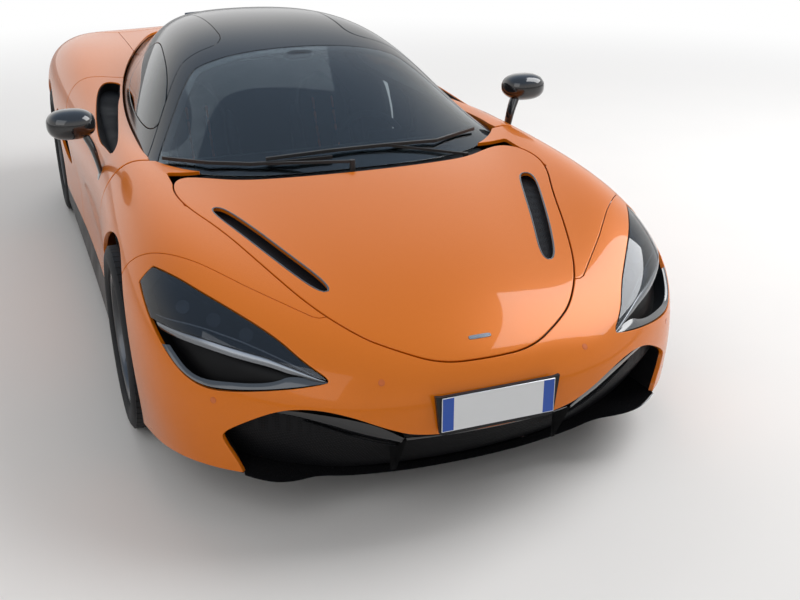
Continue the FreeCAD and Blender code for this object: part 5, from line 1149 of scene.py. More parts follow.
def blade(piece, upper, lower, material, sink, thickness, crown=2.0):
    # a strip between two (x, z) lines seen from the front, on both sides of the car
    count = 36
    a, b = evenly(roundPath(upper, 2), count), evenly(roundPath(lower, 2), count)
    shares = np.array([0, .1, .3, .5, .7, .9, 1])
    rings = []
    for k in range(count):
        top, low = onEnd("front", *a[k], sink[0]), onEnd("front", *b[k], sink[1])
        middle = (a[k] + b[k]) / 2
        n = onEnd("front", *middle) - onEnd("front", *middle, 1.0)
        front = [top + (low - top) * s + n * crown * math.sin(math.pi * s) for s in shares]
        back = [top + (low - top) * s - n * (thickness * (.25 + .75 * math.sin(math.pi * s))) for s in shares[::-1]]
        rings.append(np.array(front + back))
    ringStrip(piece, rings, material)
    return ringStrip(piece, [r * (-1, 1, 1) for r in rings[::-1]], material)


def oval(centre, half, count=24, power=2.4, across=(1, 0, 0), up=(0, 0, 1)):
    t = np.arange(count) * 2 * np.pi / count
    c, s = np.cos(t), np.sin(t)
    c, s = np.sign(c) * np.abs(c) ** (2 / power), np.sign(s) * np.abs(s) ** (2 / power)
    across, up = np.array(across, float), np.array(up, float)
    return np.asarray(centre, float) + (half[0] * c)[:, None] * across + (half[1] * s)[:, None] * up


# headlamps: a dark socket, a clear cover over its upper part, a silver blade across and a gloss lip below
lampShape = {"blade": [(884, 602), (790, 597), (698, 582), (621, 568), (571, 551), (500, 526), (474, 518)],
             "bladeLow": [(881, 586), (792, 579), (702, 564), (624, 552), (576, 538), (502, 518), (474, 514)],
             "fine": [(884, 619), (793, 627), (691, 608), (611, 582), (548, 556), (490, 528)],
             "lipUp": [(866, 556), (837, 507), (800, 488), (735, 494), (661, 500), (606, 512), (573, 529), (520, 526),
                       (474, 520)],
             "lipLow": [(878, 552), (846, 500), (800, 474), (737, 476), (636, 489), (554, 502), (500, 510), (468, 515)],
             "socketDepth": 52.0, "coverDepth": 2.0, "projectors": [(655, 622), (735, 646), (812, 662)],
             "projectorRadius": 21.0,
             "projectorRing": [(-14, .9), (6, 1), (10, .98), (10, .86), (3, .8)],
             "projectorLens": [(0, .72), (5, .7), (9, .58), (12, .4), (13.5, .15)]}


def headlamps():
    socket = Piece("headlampSockets")
    for skin in bothOf(skins["lampHole"]):
        tray(socket, skin, 8, lampShape["socketDepth"], 3, lampBlack, lampBlack)
    blade(socket, lampShape["blade"], lampShape["bladeLow"], lampSilver, (7, 14), 9, crown=3)
    blade(socket, lampShape["fine"], [(x, z - 3.2) for x, z in lampShape["fine"]], ledWhite, (11, 13), 4, crown=.6)
    blade(socket, [(x, z - 4) for x, z in lampShape["fine"]], [(x, z + 1) for x, z in lampShape["blade"]], gloss,
          (14, 10), 5, crown=2)
    blade(socket, lampShape["lipUp"], lampShape["lipLow"], lipGrey, (12, 1.5), 6, crown=1.5)
    for side in (-1, 1):
        for x, z in lampShape["projectors"]:
            centre = onEnd("front", x, z, 34)
            out = onEnd("front", x, z) - onEnd("front", x, z, 1.0) + np.array([0, -1.2, 0])
            out /= np.linalg.norm(out)
            centre, out = centre * (side, 1, 1), out * (side, 1, 1)
            r = lampShape["projectorRadius"]
            across = crossOf(out)
            for key, material in (("projectorRing", lampSilver), ("projectorLens", lampGlass)):
                ringStrip(socket, [oval(centre + out * d, (r * w, r * w), 28, 2.0, across, np.cross(across, out))
                                   for d, w in lampShape[key]], material)
    socket.make("car", ["headlamps"])
    covers = Piece("headlampCovers")
    xs, zs = zip(*sorted(lampShape["blade"]))
    above = region(skins["lampHole"], inside(lampLine, 1.6), lambda p: np.interp(p[:, 0], xs, zs) + 2 - p[:, 2])
    for skin in bothOf(above):
        closedPanel(covers, skin, 2.5, clearCover, depth=lampShape["coverDepth"], everyGap=.4, roll=.8)
    covers.make("car")


headlamps()

# bonnet outlets: a mesh floor in a recess with a gloss grey rim
ventShape = {"depth": 24.0, "rim": 3.4}
vents = Piece("bonnetOutlets")
for flip, skin in zip((1, -1), bothOf(skins["ventHole"])):
    tray(vents, skin, 6, ventShape["depth"], 2, gloss, meshBlack)
    loop = [onTop(bodyTree, x, y, 1.2) * (flip, 1, 1)
            for x, y in evenly(np.vstack([ventLine.line, ventLine.line[:1]]), 90)[:-1]]
    rings = []
    for k, p in enumerate(loop):
        way = loop[(k + 1) % len(loop)] - loop[k - 1]
        rings.append(oval(p, (ventShape["rim"], 2.0), 10, 2.0, crossOf(way / np.linalg.norm(way)), (0, 0, 1)))
    ringStrip(vents, rings, lipGrey, loop=True)
vents.make("bonnet")

# front intake: a deep dark recess, two gloss pods beside the plate, a shelf under it, and the lip below
noseShape = {"recess": 48.0, "slope": .62, "lipReach": 300, "cornerReach": 185, "cornerFrom": 380, "cornerWidth": 330,
             "podUpper": [(640, 428), (572, 431), (500, 424), (420, 410), (342, 382), (274, 336)],
             "podLower": [(560, 398), (504, 380), (405, 338), (340, 315), (286, 300)],
             "shelf": [(280, 336), (171, 331), (80, 330), (0, 330)],
             "shelfLow": [(284, 302), (171, 305), (80, 305), (0, 305)],
             "lip": [(0, -2062, 122), (100, -2060, 122), (200, -2052, 122), (290, -2040, 123), (400, -2028, 131),
                     (481, -2022, 148), (560, -2060, 168), (620, -2068, 182), (668, -2052, 194), (704, -2030, 204)]}


def recessed(skin, rear):  # the intake's floor, pushed straight back, further at the bottom
    points, normals, quads, polys, rim = skin
    moved = points.copy()
    moved[:, 1] += noseShape["recess"] + np.clip(345 - points[:, 2], 0, 999) * noseShape["slope"] + rear
    moved[:, 0] *= .985
    return moved, normals, quads, polys, rim


def frontIntake():
    hole = bothHalves(skins["intakeHole"])
    grille = Piece("frontIntake")
    points, normals, starts, ends = hole[0], hole[1], *rimEdges(hole)
    floor = recessed(bothHalves(skins["intake"]), 0.0)
    closedPanel(grille, floor, 4.0, meshBlack, everyGap=0.0, roll=.4)
    front, back = points - normals * 8, recessed(hole, 2.0)[0]
    ids = {i: k for k, i in enumerate(sorted(set(starts.tolist()) | set(ends.tolist())))}
    order = sorted(ids)
    ways = rimWays(hole, starts, ends)
    out = np.array([-ways.get(i, np.zeros(3)) for i in order])
    rings = np.vstack([front[order], back[order], back[order] + out * 3, front[order] + out * 3])
    m = len(order)
    pairs = [(ids[a], ids[b]) for a, b in zip(starts.tolist(), ends.tolist())]
    low = points[order][:, 2] < 204
    faces = [(a + k * m, b + k * m, b + (k + 1) % 4 * m, a + (k + 1) % 4 * m)
             for a, b in pairs if not (low[a] or low[b]) for k in range(4)]
    grille.add(rings, faces, satin)
    blade(grille, noseShape["podUpper"], noseShape["podLower"], gloss, (16, 40), 10, crown=5)
    podLow = noseShape["podLower"]
    blade(grille, [(x, z - 3) for x, z in podLow], [(x * .985, z - 16) for x, z in podLow], lipGrey, (30, 48), 5)
    blade(grille, noseShape["shelf"], noseShape["shelfLow"], gloss, (18, 44), 10, crown=4)
    # thin fins in the intake, painted near-black as shade so they barely show
    for x in (-1, 1):
        fin = [np.array([(x * (268 + w), -2212 + d, z)
                         for w, d, z in ((-4, 0, 392 - 60), (4, 0, 392 - 60), (5, 90, 330), (5, 90, 180), (-5, 90, 180),
                                         (-5, 90, 330))])]
        fin.append(fin[0] + np.array([x * 8, 6, -2]))
        ringStrip(grille, fin, recessShadeBlack)
    for skin in bothOf(skins["underLip"]):
        closedPanel(grille, skin, 5.0, satin, depth=52.0, everyGap=4.0, roll=.4)
    grille.make("car", ["front_grille"])


frontIntake()


def frontLip():
    lip = Piece("frontLip")
    half = evenly(roundPath(noseShape["lip"], 2), 40)
    line = np.vstack([half[::-1], half[1:] * (-1, 1, 1)])
    rings = []
    for x, y, z in line:
        outer = min(1.0, max(0.0, (abs(x) - noseShape["cornerFrom"]) / noseShape["cornerWidth"]))
        reach = noseShape["lipReach"] * (1 - outer) + noseShape["cornerReach"] * outer
        drop = (z - 122) * (1 - outer)
        rings.append(np.array([(x, y - .5, z), (x, y + 3, z + 2.2), (x, y + 14, z + 4),
                               (x * .995, y + reach, z + 6 - drop * .8), (x * .995, y + reach, z - 4 - drop * .8),
                               (x, y + 14, z - 4.5), (x, y + 3, z - 2.4)]))
    ringStrip(lip, rings, gloss).make("car", ["splitter"])


frontLip()

# the flat floor, with its front edge behind the lip
trayShape = {"edge": [(0, -2030), (380, -1990), (470, -1900), (540, -1800), (620, -1690), (690, -1625), (738, -1602),
                      (528, -1602), (528, -782), (898, -782), (898, 1049), (598, 1049), (598, 1627), (0, 1627)],
             "low": 105.2, "high": 115.5}
half = trayShape["edge"]
outline = half + [(-x, y) for x, y in reversed(half[1:-1])]
floorPan = Piece("floorPan")
ringStrip(floorPan, [np.array([(x * w, y, z) for x, y in outline])
                     for z, w in ((trayShape["low"], .999), (trayShape["low"] + 1.5, 1), (trayShape["high"] - 1, 1),
                                  (trayShape["high"], .999))], carbon)
floorPan.make("car", ["undertray"])

# number plate: blank, with a plain band at each end, on a black bracket
plateShape = {"halfWidth": 180.0, "low": 368.0, "high": 478.0, "front": -2271.0, "band": 37.0, "rim": 2.2}


def numberPlate():
    plate = Piece("numberPlate")
    s = plateShape
    x, low, high, y = s["halfWidth"], s["low"], s["high"], s["front"]
    box(plate, (-x, y + 1.2, low), (x, y + 4.5, high), steel, 1.0)
    for x0, x1, material in ((-x + 2, -x + s["band"], plateBlue), (-x + s["band"], x - s["band"], plateWhite),
                             (x - s["band"], x - 2, plateBlue)):
        box(plate, (x0, y + .6, low + 2), (x1, y + 2.2, high - 2), material, .3)
    rim = [(-x + 1.5, low + 1.5), (x - 1.5, low + 1.5), (x - 1.5, high - 1.5), (-x + 1.5, high - 1.5)]
    for (ax, az), (bx, bz) in zip(rim, rim[1:] + rim[:1]):
        tube(plate, [(ax, y + 1.1, az), (bx, y + 1.1, bz)], 1.0, plateWhite, 8)
    outline = [(-x + 6, low - 13), (x - 6, low - 13), (x + 3, low - 6), (x + 17.5, high + 5), (x - 4, high + 1),
               (-x + 4, high + 1), (-x - 17.5, high + 5), (-x - 3, low - 6)]
    rings = [np.array([(px, y + d, pz) for px, pz in outline]) for d in (6.0, 17.4)]
    ringStrip(plate, rings, satin)
    plate.make("car", ["number_plate"])


numberPlate()

# small front trims: parking sensors and a blank badge
trimShape = {"sensors": [(770, 437), (328, 513)], "sensorRadius": 9.5, "badge": (0, -2126), "badgeHalf": (36, 7.5)}


def frontTrims():
    trims = Piece("parkingSensors")
    for x, z in trimShape["sensors"]:
        for side in (-1, 1):
            at = onEnd("front", x, z) * (side, 1, 1)
            out = (onEnd("front", x, z) - onEnd("front", x, z, 1)) * (side, 1, 1)
            across = crossOf(out)
            r = trimShape["sensorRadius"]
            rings = [oval(at + out * d, (r * w, r * w), 28, 2.0, across, np.cross(across, out))
                     for d, w in ((-5, 1.06), (.3, 1.06), (.3, .96), (-.3, .93), (.5, .88), (.7, .5))]
            ringStrip(trims, rings, sensorGrey)
    trims.make("car")
    badge = Piece("blankBadge")
    x, y = trimShape["badge"]
    hit = onTop(bodyTree, x, y)
    n = hit - onTop(bodyTree, x, y, 1.0)
    up = np.cross(n, (1, 0, 0))
    a, b = trimShape["badgeHalf"]
    rings = [oval(hit + n * d, (a - c, b - c), 40, 5.0, (1, 0, 0), up)
             for d, c in ((-3, 0), (.8, 0), (1.5, .5), (1.5, 1.4))]
    ringStrip(badge, rings, lampSilver)
    ringStrip(badge, [oval(hit + n * d, (a - 1.5, b - 1.5), 40, 5.0, (1, 0, 0), up) for d in (-1, 1.2)], gloss)
    badge.make("bonnet")


frontTrims()

# mirrors: a gloss shell, the glass behind, a thin stalk and its foot
mirrorShape = {"centre": (981.0, -473.0, 928.0),
               "stations": [(-63, 20, 12), (-58, 44, 27), (-46, 66, 41), (-28, 82, 52), (-4, 91, 58), (24, 93, 58.5),
                            (48, 90, 56), (59, 88, 54)],
               "foot": (896.0, -478.0), "neck": 936.0}


def mirrors():
    cx, cy, cz = mirrorShape["centre"]
    fx, fy = mirrorShape["foot"]
    for side, name in ((1, "left"), (-1, "right")):
        piece = Piece("mirror_" + name)
        rings = [oval((side * cx, cy + d, cz - .03 * (d + 60)), (a, b), 40, 2.5) for d, a, b in mirrorShape["stations"]]
        rings += [oval((side * cx, cy + d, cz - 3.5), (a, b), 40, 2.5) for d, a, b in ((60, 84, 50), (52, 82, 48))]
        ringStrip(piece, rings, mirrorGloss)
        glassRings = [oval((side * cx, cy + d, cz - 3.5), (a, b), 40, 2.6)
                      for d, a, b in ((50, 80, 46), (54, 80, 46), (55, 79, 45))]
        ringStrip(piece, glassRings, mirrorFace)
        foot = heightAt(bodyTree, fx, fy)
        path = roundPath([(side * (fx - 8), fy, foot - 24), (side * (fx + 4), fy - 1, foot + 50),
                          (side * (fx + 18), fy, foot + 110), (side * mirrorShape["neck"], cy + 4, cz - 44)], 3)
        stalk = [oval(p, (9.5 + 7 * k / len(path), 26 + 5 * k / len(path)), 20, 2.2, (1, 0, 0), (0, 1, 0))
                 for k, p in enumerate(path)]
        ringStrip(piece, stalk, mirrorGloss)
        base = []
        for lift, grow in ((-5, 1.0), (.5, 1.0), (3.5, .9), (4.5, .7)):
            ring = oval((0, 0, 0), (11 * grow, 33 * grow), 28, 2.6, (1, 0, 0), (0, 1, 0))
            base.append(np.array([(side * (fx + q[0]), fy + q[1], heightAt(bodyTree, fx + q[0], fy + q[1]) + lift)
                                  for q in ring]))
        ringStrip(piece, base, mirrorGloss).make("door_" + name, ["mirror_" + name])


mirrors()
print("front details made")

# rear: mesh, lamp strips, side intakes
rearShape = {"meshDepth": 16.0, "strip": 12.0, "exhaust": (95.0, 640.0, 58.0)}


def rearDetails():
    mesh = Piece("rearMesh")
    ex, ez, er = rearShape["exhaust"]
    roundPipes = lambda p: er + 5 - np.hypot(np.abs(p[:, 0]) - ex, p[:, 2] - ez)
    wholeSkin = region(bothHalves(skins["rearMesh"]), roundPipes)
    closedPanel(mesh, wholeSkin, 4.0, meshBlack, depth=rearShape["meshDepth"], everyGap=0.0, roll=.4)
    rimWall(mesh, bothHalves(skins["meshHole"]), 8, rearShape["meshDepth"] + 4, 3, gloss)
    for side in (-1, 1):
        y = onEnd("rear", ex, ez)[1] - 3
        rings = [np.array([(side * ex + q * math.cos(t), y + d, ez + q * math.sin(t))
                           for t in np.arange(48) * 2 * math.pi / 48])
                 for d, q in ((-70, er), (-6, er), (0, er - 1.5), (2, er - 4), (0, er - 6.5), (-8, er - 8),
                              (-70, er - 8))]
        ringStrip(mesh, rings, titanium, loop=True)
    mesh.make("car", ["rear_mesh"])
    lamps = Piece("tailLamps")
    bothSides(lamps, "tailLamp", rearShape["strip"], tailRed, everyGap=.6, depth=3.0, roll=1.5)
    lamps.make("car", ["tail_lamps"])
    intakes = Piece("sideIntakes")
    for skin in bothOf(skins["sideHole"]):
        tray(intakes, skin, 8, 40, 3, gloss, meshBlack)
    intakes.make("car", ["side_intakes"])


rearDetails()


# wheels: smooth rims and tyres, with bolts, disc holes and tread blocks laid out by nodes
def newRepeater(name, **inputs):  # a node tree that takes a part, its own inputs and a finish
    tree = bpy.data.node_groups.new(name, "GeometryNodeTree")
    kinds = {int: "Int", float: "Float", tuple: "Vector"}
    sockets = {}
    for label, value in {"Geometry": None, **inputs, "Finish": None}.items():
        kind = kinds.get(type(value), "Geometry" if label == "Geometry" else "Material")
        socket = tree.interface.new_socket(name=label, in_out="INPUT", socket_type="NodeSocket" + kind)
        if value is not None:
            socket.default_value = value
        sockets[label] = socket.identifier
    tree.interface.new_socket(name="Geometry", in_out="OUTPUT", socket_type="NodeSocketGeometry")
    return tree, sockets, *newNodes(tree, "NodeGroupInput", "NodeGroupOutput")


def finishParts(tree, start, end, source):
    real, finish = newNodes(tree, "GeometryNodeRealizeInstances", "GeometryNodeSetMaterial")
    wire(tree, (source, 0, real, 0), (real, 0, finish, "Geometry"), (start, "Finish", finish, "Material"),
         (finish, 0, end, 0))


def ringOfParts():  # repeats the modifier's own mesh round a wheel's axle
    tree, sockets, start, end = newRepeater("ringOfParts", Count=5, Radius=.1, Centre=(0, 0, 0))
    circle, index, share, turn, angle, spread, move = newNodes(
        tree, "GeometryNodeMeshCircle", "GeometryNodeInputIndex", "ShaderNodeMath", "ShaderNodeMath",
        "ShaderNodeCombineXYZ", "GeometryNodeInstanceOnPoints", "GeometryNodeTransform")
    share.operation, turn.operation = "DIVIDE", "MULTIPLY"
    turn.inputs[1].default_value = 2 * math.pi
    give(move, Rotation=(0, math.pi / 2, 0))
    wire(tree, (start, "Count", circle, "Vertices"), (start, "Radius", circle, "Radius"), (index, 0, share, 0),
         (start, "Count", share, 1), (share, 0, turn, 0), (turn, 0, angle, 2), (circle, 0, spread, "Points"),
         (start, "Geometry", spread, "Instance"), (angle, 0, spread, "Rotation"), (spread, 0, move, "Geometry"),
         (start, "Centre", move, "Translation"))
    finishParts(tree, start, end, move)
    return tree, sockets


def rowOfParts():  # repeats the modifier's own mesh in a row that can rise and narrow
    tree, sockets, start, end = newRepeater("rowOfParts", Count=8, Start=(0, 0, 0), Step=(0, .05, 0), Shrink=0.0)
    line, index, less, width, size, spread = newNodes(
        tree, "GeometryNodeMeshLine", "GeometryNodeInputIndex", "ShaderNodeMath", "ShaderNodeMath",
        "ShaderNodeCombineXYZ", "GeometryNodeInstanceOnPoints")
    less.operation, width.operation = "MULTIPLY", "SUBTRACT"
    width.inputs[0].default_value = size.inputs[1].default_value = size.inputs[2].default_value = 1.0
    wire(tree, (start, "Count", line, "Count"), (start, "Start", line, "Start Location"),
         (start, "Step", line, "Offset"), (index, 0, less, 0), (start, "Shrink", less, 1), (less, 0, width, 1),
         (width, 0, size, 0), (line, 0, spread, "Points"), (start, "Geometry", spread, "Instance"),
         (size, 0, spread, "Scale"))
    finishParts(tree, start, end, spread)
    return tree, sockets


nodeTrees = {"ring": ringOfParts(), "row": rowOfParts()}


def repeated(piece, kind, body, **values):  # a part repeated by a node tree, as one plain mesh
    tree, sockets = nodeTrees[kind]
    if "Centre" in values:
        values["Centre"] = tuple(np.array(values["Centre"]) * .001)
    mesh = bpy.data.meshes.new(piece.name + "Part")
    mesh.from_pydata((np.vstack(piece.points) * .001).tolist(), [], piece.faces)
    obj = newObject(piece.name, mesh)
    nodes = obj.modifiers.new("repeat", "NODES")
    nodes.node_group = tree
    for label, value in values.items():
        nodes[sockets[label]] = value
    made = finalMesh(obj)
    obj.modifiers.clear()
    obj.data = made
    made.polygons.foreach_set("use_smooth", [True] * len(made.polygons))
    made.set_sharp_from_angle(angle=math.radians(30))
    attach(obj, body)
    return obj


wheelShape = {"front": {"y": car["frontAxle"], "track": car["frontTrack"], "radius": car["frontTyre"], "width": 245.0,
                        "rim": 241.0},
              "rear": {"y": car["rearAxle"], "track": car["rearTrack"], "radius": car["rearTyre"], "width": 292.0,
                       "rim": 254.0},
              "spokePairs": 5, "bolts": 5, "boltCircle": 56.0, "treadPitches": 62, "discHoles": 30, "groove": 6.5,
              "disc": 182.0}


def tyreAndTread(name, centre, w, body, node):
    half, r, rim = w["width"] / 2, w["radius"] - .4, w["rim"]
    base = r - wheelShape["groove"]
    outer = [(-half + 22, rim - 14), (-half + 22, rim + 5), (-half + 12, rim + 9), (-half + 8.5, rim + 12),
             (-half + 8.5, rim + 16), (-half + 5, rim + 20),
             (-half + .8, (r + rim) / 2 - 6), (-half + .4, (r + rim) / 2 + 4), (-half + 1.8, (r + rim) / 2 + 16),
             (-half + 4.4, r - 19), (-half + 9, r - 11),
             (-half + 15, base), (-half + 40, base + 2), (0, base + 3.2)]
    inner = [(0, r - 13), (-half + 26, r - 16), (-half + 9.5, (r + rim) / 2), (-half + 26, rim + 6),
             (-half + 42, rim + 4), (-half + 42, rim - 14)]
    flip = [(-x, q) for x, q in reversed(outer[:-1])] + [(-x, q) for x, q in reversed(inner)][:-1]
    lathe(Piece("tyre_" + name), outer + flip + inner, centre, rubber, 120).make(body, [node], angle=50)
    pitch = Piece("tread_" + name)
    length = 2 * math.pi * r / wheelShape["treadPitches"]
    ribs = [(-half + 13, -half + 43), (-half + 49, -half * .30 - 3), (-half * .30 + 3, half * .30 - 3),
            (half * .30 + 3, half - 49), (half - 43, half - 13)]
    for k, (x0, x1) in enumerate(ribs):
        crown = [3.4 * (abs(x) / half) ** 2.4 for x in (x0, x1)]
        shift = length * (.5 if k % 2 else 0) - length / 2
        slant = (6 if k < 2 else -6 if k > 2 else 4)
        gap = 1.5 if k in (0, 4) else 1.1
        corners = [(x0, gap + shift, crown[0]), (x1, gap + slant + shift, crown[1]),
                   (x1, length - gap + slant + shift, crown[1]), (x0, length - gap + shift, crown[0])]
        cx, cy = (x0 + x1) / 2, length / 2 + shift + slant / 2
        levels = ((base - 4 - r, 1.0, 1), (-1.2, 1.0, 0), (0, .955, 0))
        rings = [np.array([(-(h - (0 if flat else c) - y * y / (2 * r)), cy + (y - cy) * s, cx + (x - cx) * s)
                           for x, y, c in corners]) for h, s, flat in levels]
        ringStrip(pitch, [q * (-1, 1, 1) for q in rings], rubber)
    repeated(pitch, "ring", body, Count=wheelShape["treadPitches"], Radius=r * .001, Centre=centre, Finish=rubber)


def rimAndDisc(name, side, centre, w, body, node):
    half, rim = w["width"] / 2 - 16, w["rim"]
    seat, lip, hub = rim - 14.3, rim + 4, w["width"] / 2 - 112
    face = half - 22
    wheel = Piece("rim_" + name)
    place = lambda profile: [(side * x, q) for x, q in profile]
    lathe(wheel, place([(-half, lip), (-half, seat - 13), (-half + 30, seat - 15), (half - 46, seat - 15),
                        (half - 14, seat - 9), (half - 2, seat - 5), (half, seat - 2), (half + .5, lip - 4),
                        (half - 1, lip), (half - 4, lip), (half - 4.4, seat), (-half + 4.4, seat), (-half + 4, lip)]),
          centre, rimPaint, 120)
    lathe(wheel, place([(hub, 33), (hub, 62), (face - 40, 62), (face - 32, 58), (face - 26, 50), (face - 21, 38),
                        (face - 18, 34), (face - 18, 26), (face - 15, 24), (face - 13, 18), (face - 12, 6),
                        (hub + 20, 6), (hub + 20, 33)]), centre, rimPaint, 72)
    reach = seat - 6
    stations = [(46, -60, -26, -16, 11), (62, -56, -22, -13, 9), (.42 * reach, -48, -14, -7, 11),
                (.62 * reach, -40, -9, -1, 18), (.8 * reach, -35, -3, 5, 25),
                (.93 * reach, -33, 3, 10, 33), (reach, -34, 7, 8, 40)]
    for k in range(wheelShape["spokePairs"] * 2):
        flip = 1 if k % 2 else -1
        angle = 2 * math.pi * (k - k % 2) / (wheelShape["spokePairs"] * 2)
        rings = []
        for r, x0, x1, t0, t1 in stations:
            section = [(x0, t0 + 3), (x0 + 6, t0), (x1 - 8, t0), (x1 - 2, t0 + 3), (x1, (t0 + t1) / 2),
                       (x1 - 2, t1 - 3), (x1 - 8, t1), (x0 + 6, t1), (x0, t1 - 3)]
            ring = []
            for x, t in section:
                t *= flip
                y, z = t * math.cos(angle) - r * math.sin(angle), t * math.sin(angle) + r * math.cos(angle)
                ring.append((side * (face + x) + centre[0], y + centre[1], z + centre[2]))
            rings.append(np.array(ring))
        ringStrip(wheel, rings, rimPaint)
    disc = hub - 6
    lathe(wheel, place([(disc - 34, 96), (disc - 34, wheelShape["disc"]), (disc - 20, wheelShape["disc"]),
                        (disc - 20, 172), (disc - 14, 172), (disc - 14, wheelShape["disc"]), (disc, wheelShape["disc"]),
                        (disc, 108), (disc - 3, 106), (disc - 3, 104), (hub + 8, 104), (hub + 8, 60), (hub, 60),
                        (hub, 96)]), centre, discMetal, 96)
    wheel.make(body, [node], angle=42)
    bolt = Piece("wheelBolts_" + name)

    def flatRing(r, z, n=12):
        return np.array([(r * math.cos(t), r * math.sin(t), z * side) for t in np.arange(n) * 2 * math.pi / n])

    top = face - 27
    for rings in ([flatRing(11.5, top - 8), flatRing(11.5, top), flatRing(10, top + 1)],
                  [flatRing(8, top, 6), flatRing(8, top + 9, 6), flatRing(6.8, top + 10.5, 6)]):
        ringStrip(bolt, rings, steel)
    repeated(bolt, "ring", body, Count=wheelShape["bolts"], Radius=wheelShape["boltCircle"] * .001 * .82, Centre=centre,
             Finish=steel)
    holes = Piece("discHoles_" + name)
    for k, r in enumerate((-22, 0, 22)):
        turn = .055 * (k - 1)
        c, q = r * math.cos(turn), (150 + r) * math.sin(turn)
        for x0, x1 in ((disc - .4, disc + .25), (disc - 34.25, disc - 33.6)):
            rings = [np.array([(c + 3.4 * math.cos(t), q + 3.4 * math.sin(t), x * side)
                               for t in np.arange(10) * 2 * math.pi / 10]) for x in (x0, x1)]
            ringStrip(holes, rings, lampBlack)
    repeated(holes, "ring", body, Count=wheelShape["discHoles"], Radius=.146, Centre=centre, Finish=lampBlack)


def calliper(side, centre, w):
    hub = w["width"] / 2 - 112
    out, back = hub - 6, hub - 40
    profile = [(out + 24, 122), (out + 24, 184), (out + 18, 198), (out + 8, 203.5), (back - 8, 203.5), (back - 18, 198),
               (back - 23.6, 184), (back - 23.6, 122),
               (back - 4, 122), (back - 4, 187), (out + 4, 187), (out + 4, 122)]
    rings = []
    for angle in np.radians(np.linspace(-28.5, 28.5, 16)):
        rings.append(np.array([(side * x + centre[0], q * math.cos(angle) + centre[1], q * math.sin(angle) + centre[2])
                               for x, q in profile]))
    return rings


def wheels():
    for end in ("front", "rear"):
        w = wheelShape[end]
        for side, name in ((1, "left"), (-1, "right")):
            centre = (side * w["track"] / 2, w["y"], w["radius"])
            body = f"wheel_{end}_{name}"
            tyreAndTread(f"{end}_{name}", centre, w, body, f"{end}_tyre_{name}")
            rimAndDisc(f"{end}_{name}", side, centre, w, body, f"{end}_rim_{name}")
            clamp = ringStrip(Piece(f"brakeCalliper_{end}_{name}"), calliper(side, centre, w), calliperPaint)
            clamp.make("knuckle_" + name if end == "front" else "car", angle=30)


wheels()
print("wheels made")

# cabin: padded seats in hard shells
seatShape = {"x": 325.0, "cushion": [(-138, 268), (-60, 262), (60, 248), (180, 236), (290, 232)],
             "back": [(318, 262), (368, 360), (425, 480), (480, 600), (528, 710), (562, 800), (572, 852)],
             "cushionHalf": (138, 40), "backHalf": (136, 32)}


def padded(piece, x, path, half, material, channels, dent=.10, taper=None, power=3.2):
    count = 46
    line = evenly(roundPath([(0, y, z) for y, z in path], 3), count)
    rings = []
    for k, p in enumerate(line):
        way = line[min(k + 1, count - 1)] - line[max(k - 1, 0)]
        way /= np.linalg.norm(way)
        up = np.cross((1, 0, 0), way)
        at = k / (count - 1)
        closing = min(1.0, (math.sin(math.pi * min(max(at, .004), .996)) * 2.4) ** .45)
        channel = 1 - dent * abs(math.cos(math.pi * at * channels)) ** 10
        w = half[0] * closing * (taper(at) if taper else 1)
        rings.append(oval(p + (x, 0, 0), (w, half[1] * closing * channel), 32, power, (1, 0, 0), up))
    return ringStrip(piece, rings, material)


def seats():
    s = seatShape
    pads, shells = Piece("seatPads"), Piece("seatShells")
    for x in (-s["x"], s["x"]):
        backTaper = lambda t: 1 - .12 * t - .16 * max(0, (t - .74) / .26)
        padded(pads, x, s["cushion"], s["cushionHalf"], suede, 6)
        padded(pads, x, s["back"], s["backHalf"], suede, 9, taper=backTaper)
        for dx in (-58, 58):
            padded(pads, x + dx, s["cushion"], (13, 41.5), orangeHide, 6, power=2.4)
            padded(pads, x + dx * .86, s["back"][:-1], (12, 34), orangeHide, 8, power=2.4)
        for side in (-1, 1):
            padded(pads, x + side * 164, [(-135, 290), (0, 312), (160, 306), (300, 330)], (28, 48), suede, 3, dent=.03,
                   power=2.3)
            padded(pads, x + side * 158, [(250, 300), (330, 400), (400, 520), (468, 640), (520, 705)], (30, 46), suede,
                   3, dent=.03, power=2.3)
            box(shells, (x + side * 130 - 20, -80, 147.5), (x + side * 130 + 20, 260, 215), darkMetal, 4)
        rings = []
        for y, z, w, t in ((-146, 214, 150, 10), (-40, 206, 178, 12), (120, 196, 186, 13), (280, 196, 186, 14),
                           (352, 240, 188, 14), (420, 380, 186, 13), (486, 520, 180, 12),
                           (540, 650, 160, 11), (572, 760, 120, 10), (574, 836, 92, 8)):
            up = (0, 0, 1) if y < 200 else (0, -.42, .9) if y < 352 else (0, -.9, .42)
            rings.append(oval((x, y, z), (w, t), 28, 3.5, (1, 0, 0), up))
        ringStrip(shells, rings, carbon)
    pads.make("car", angle=60)
    shells.make("car", ["seats"])


seats()

# dashboard furniture behind the screen
dashShape = {"frames": [((235, -476, 716), (415, -466, 790)), ((-62, -404, 560), (62, -392, 716))],
             "faces": [((242, -465.8, 722), (408, -464, 784)), ((-55, -391.8, 567), (55, -390, 709))],
             "pod": [(-24, 30, 6), (-16, 52, 14), (0, 62, 20), (30, 64, 22), (60, 58, 18), (66, 50, 12)]}
furniture = Piece("dashScreens")
for holder, face in zip(dashShape["frames"], dashShape["faces"]):
    box(furniture, *holder, gloss, 4)
    box(furniture, *face, screenBlue, .5)
furniture.make("car")
pod = Piece("roofCamera")
hang = onTop(canopyTree, 0, float(along(.345)), 12)
ringStrip(pod, [oval(hang + np.array([0, d * .9, -d * .15 - 6]), (a, b), 28, 3.0, (1, 0, 0), (0, .25, .97))
                for d, a, b in dashShape["pod"]], satin)
pod.make("car")
print("cabin made")

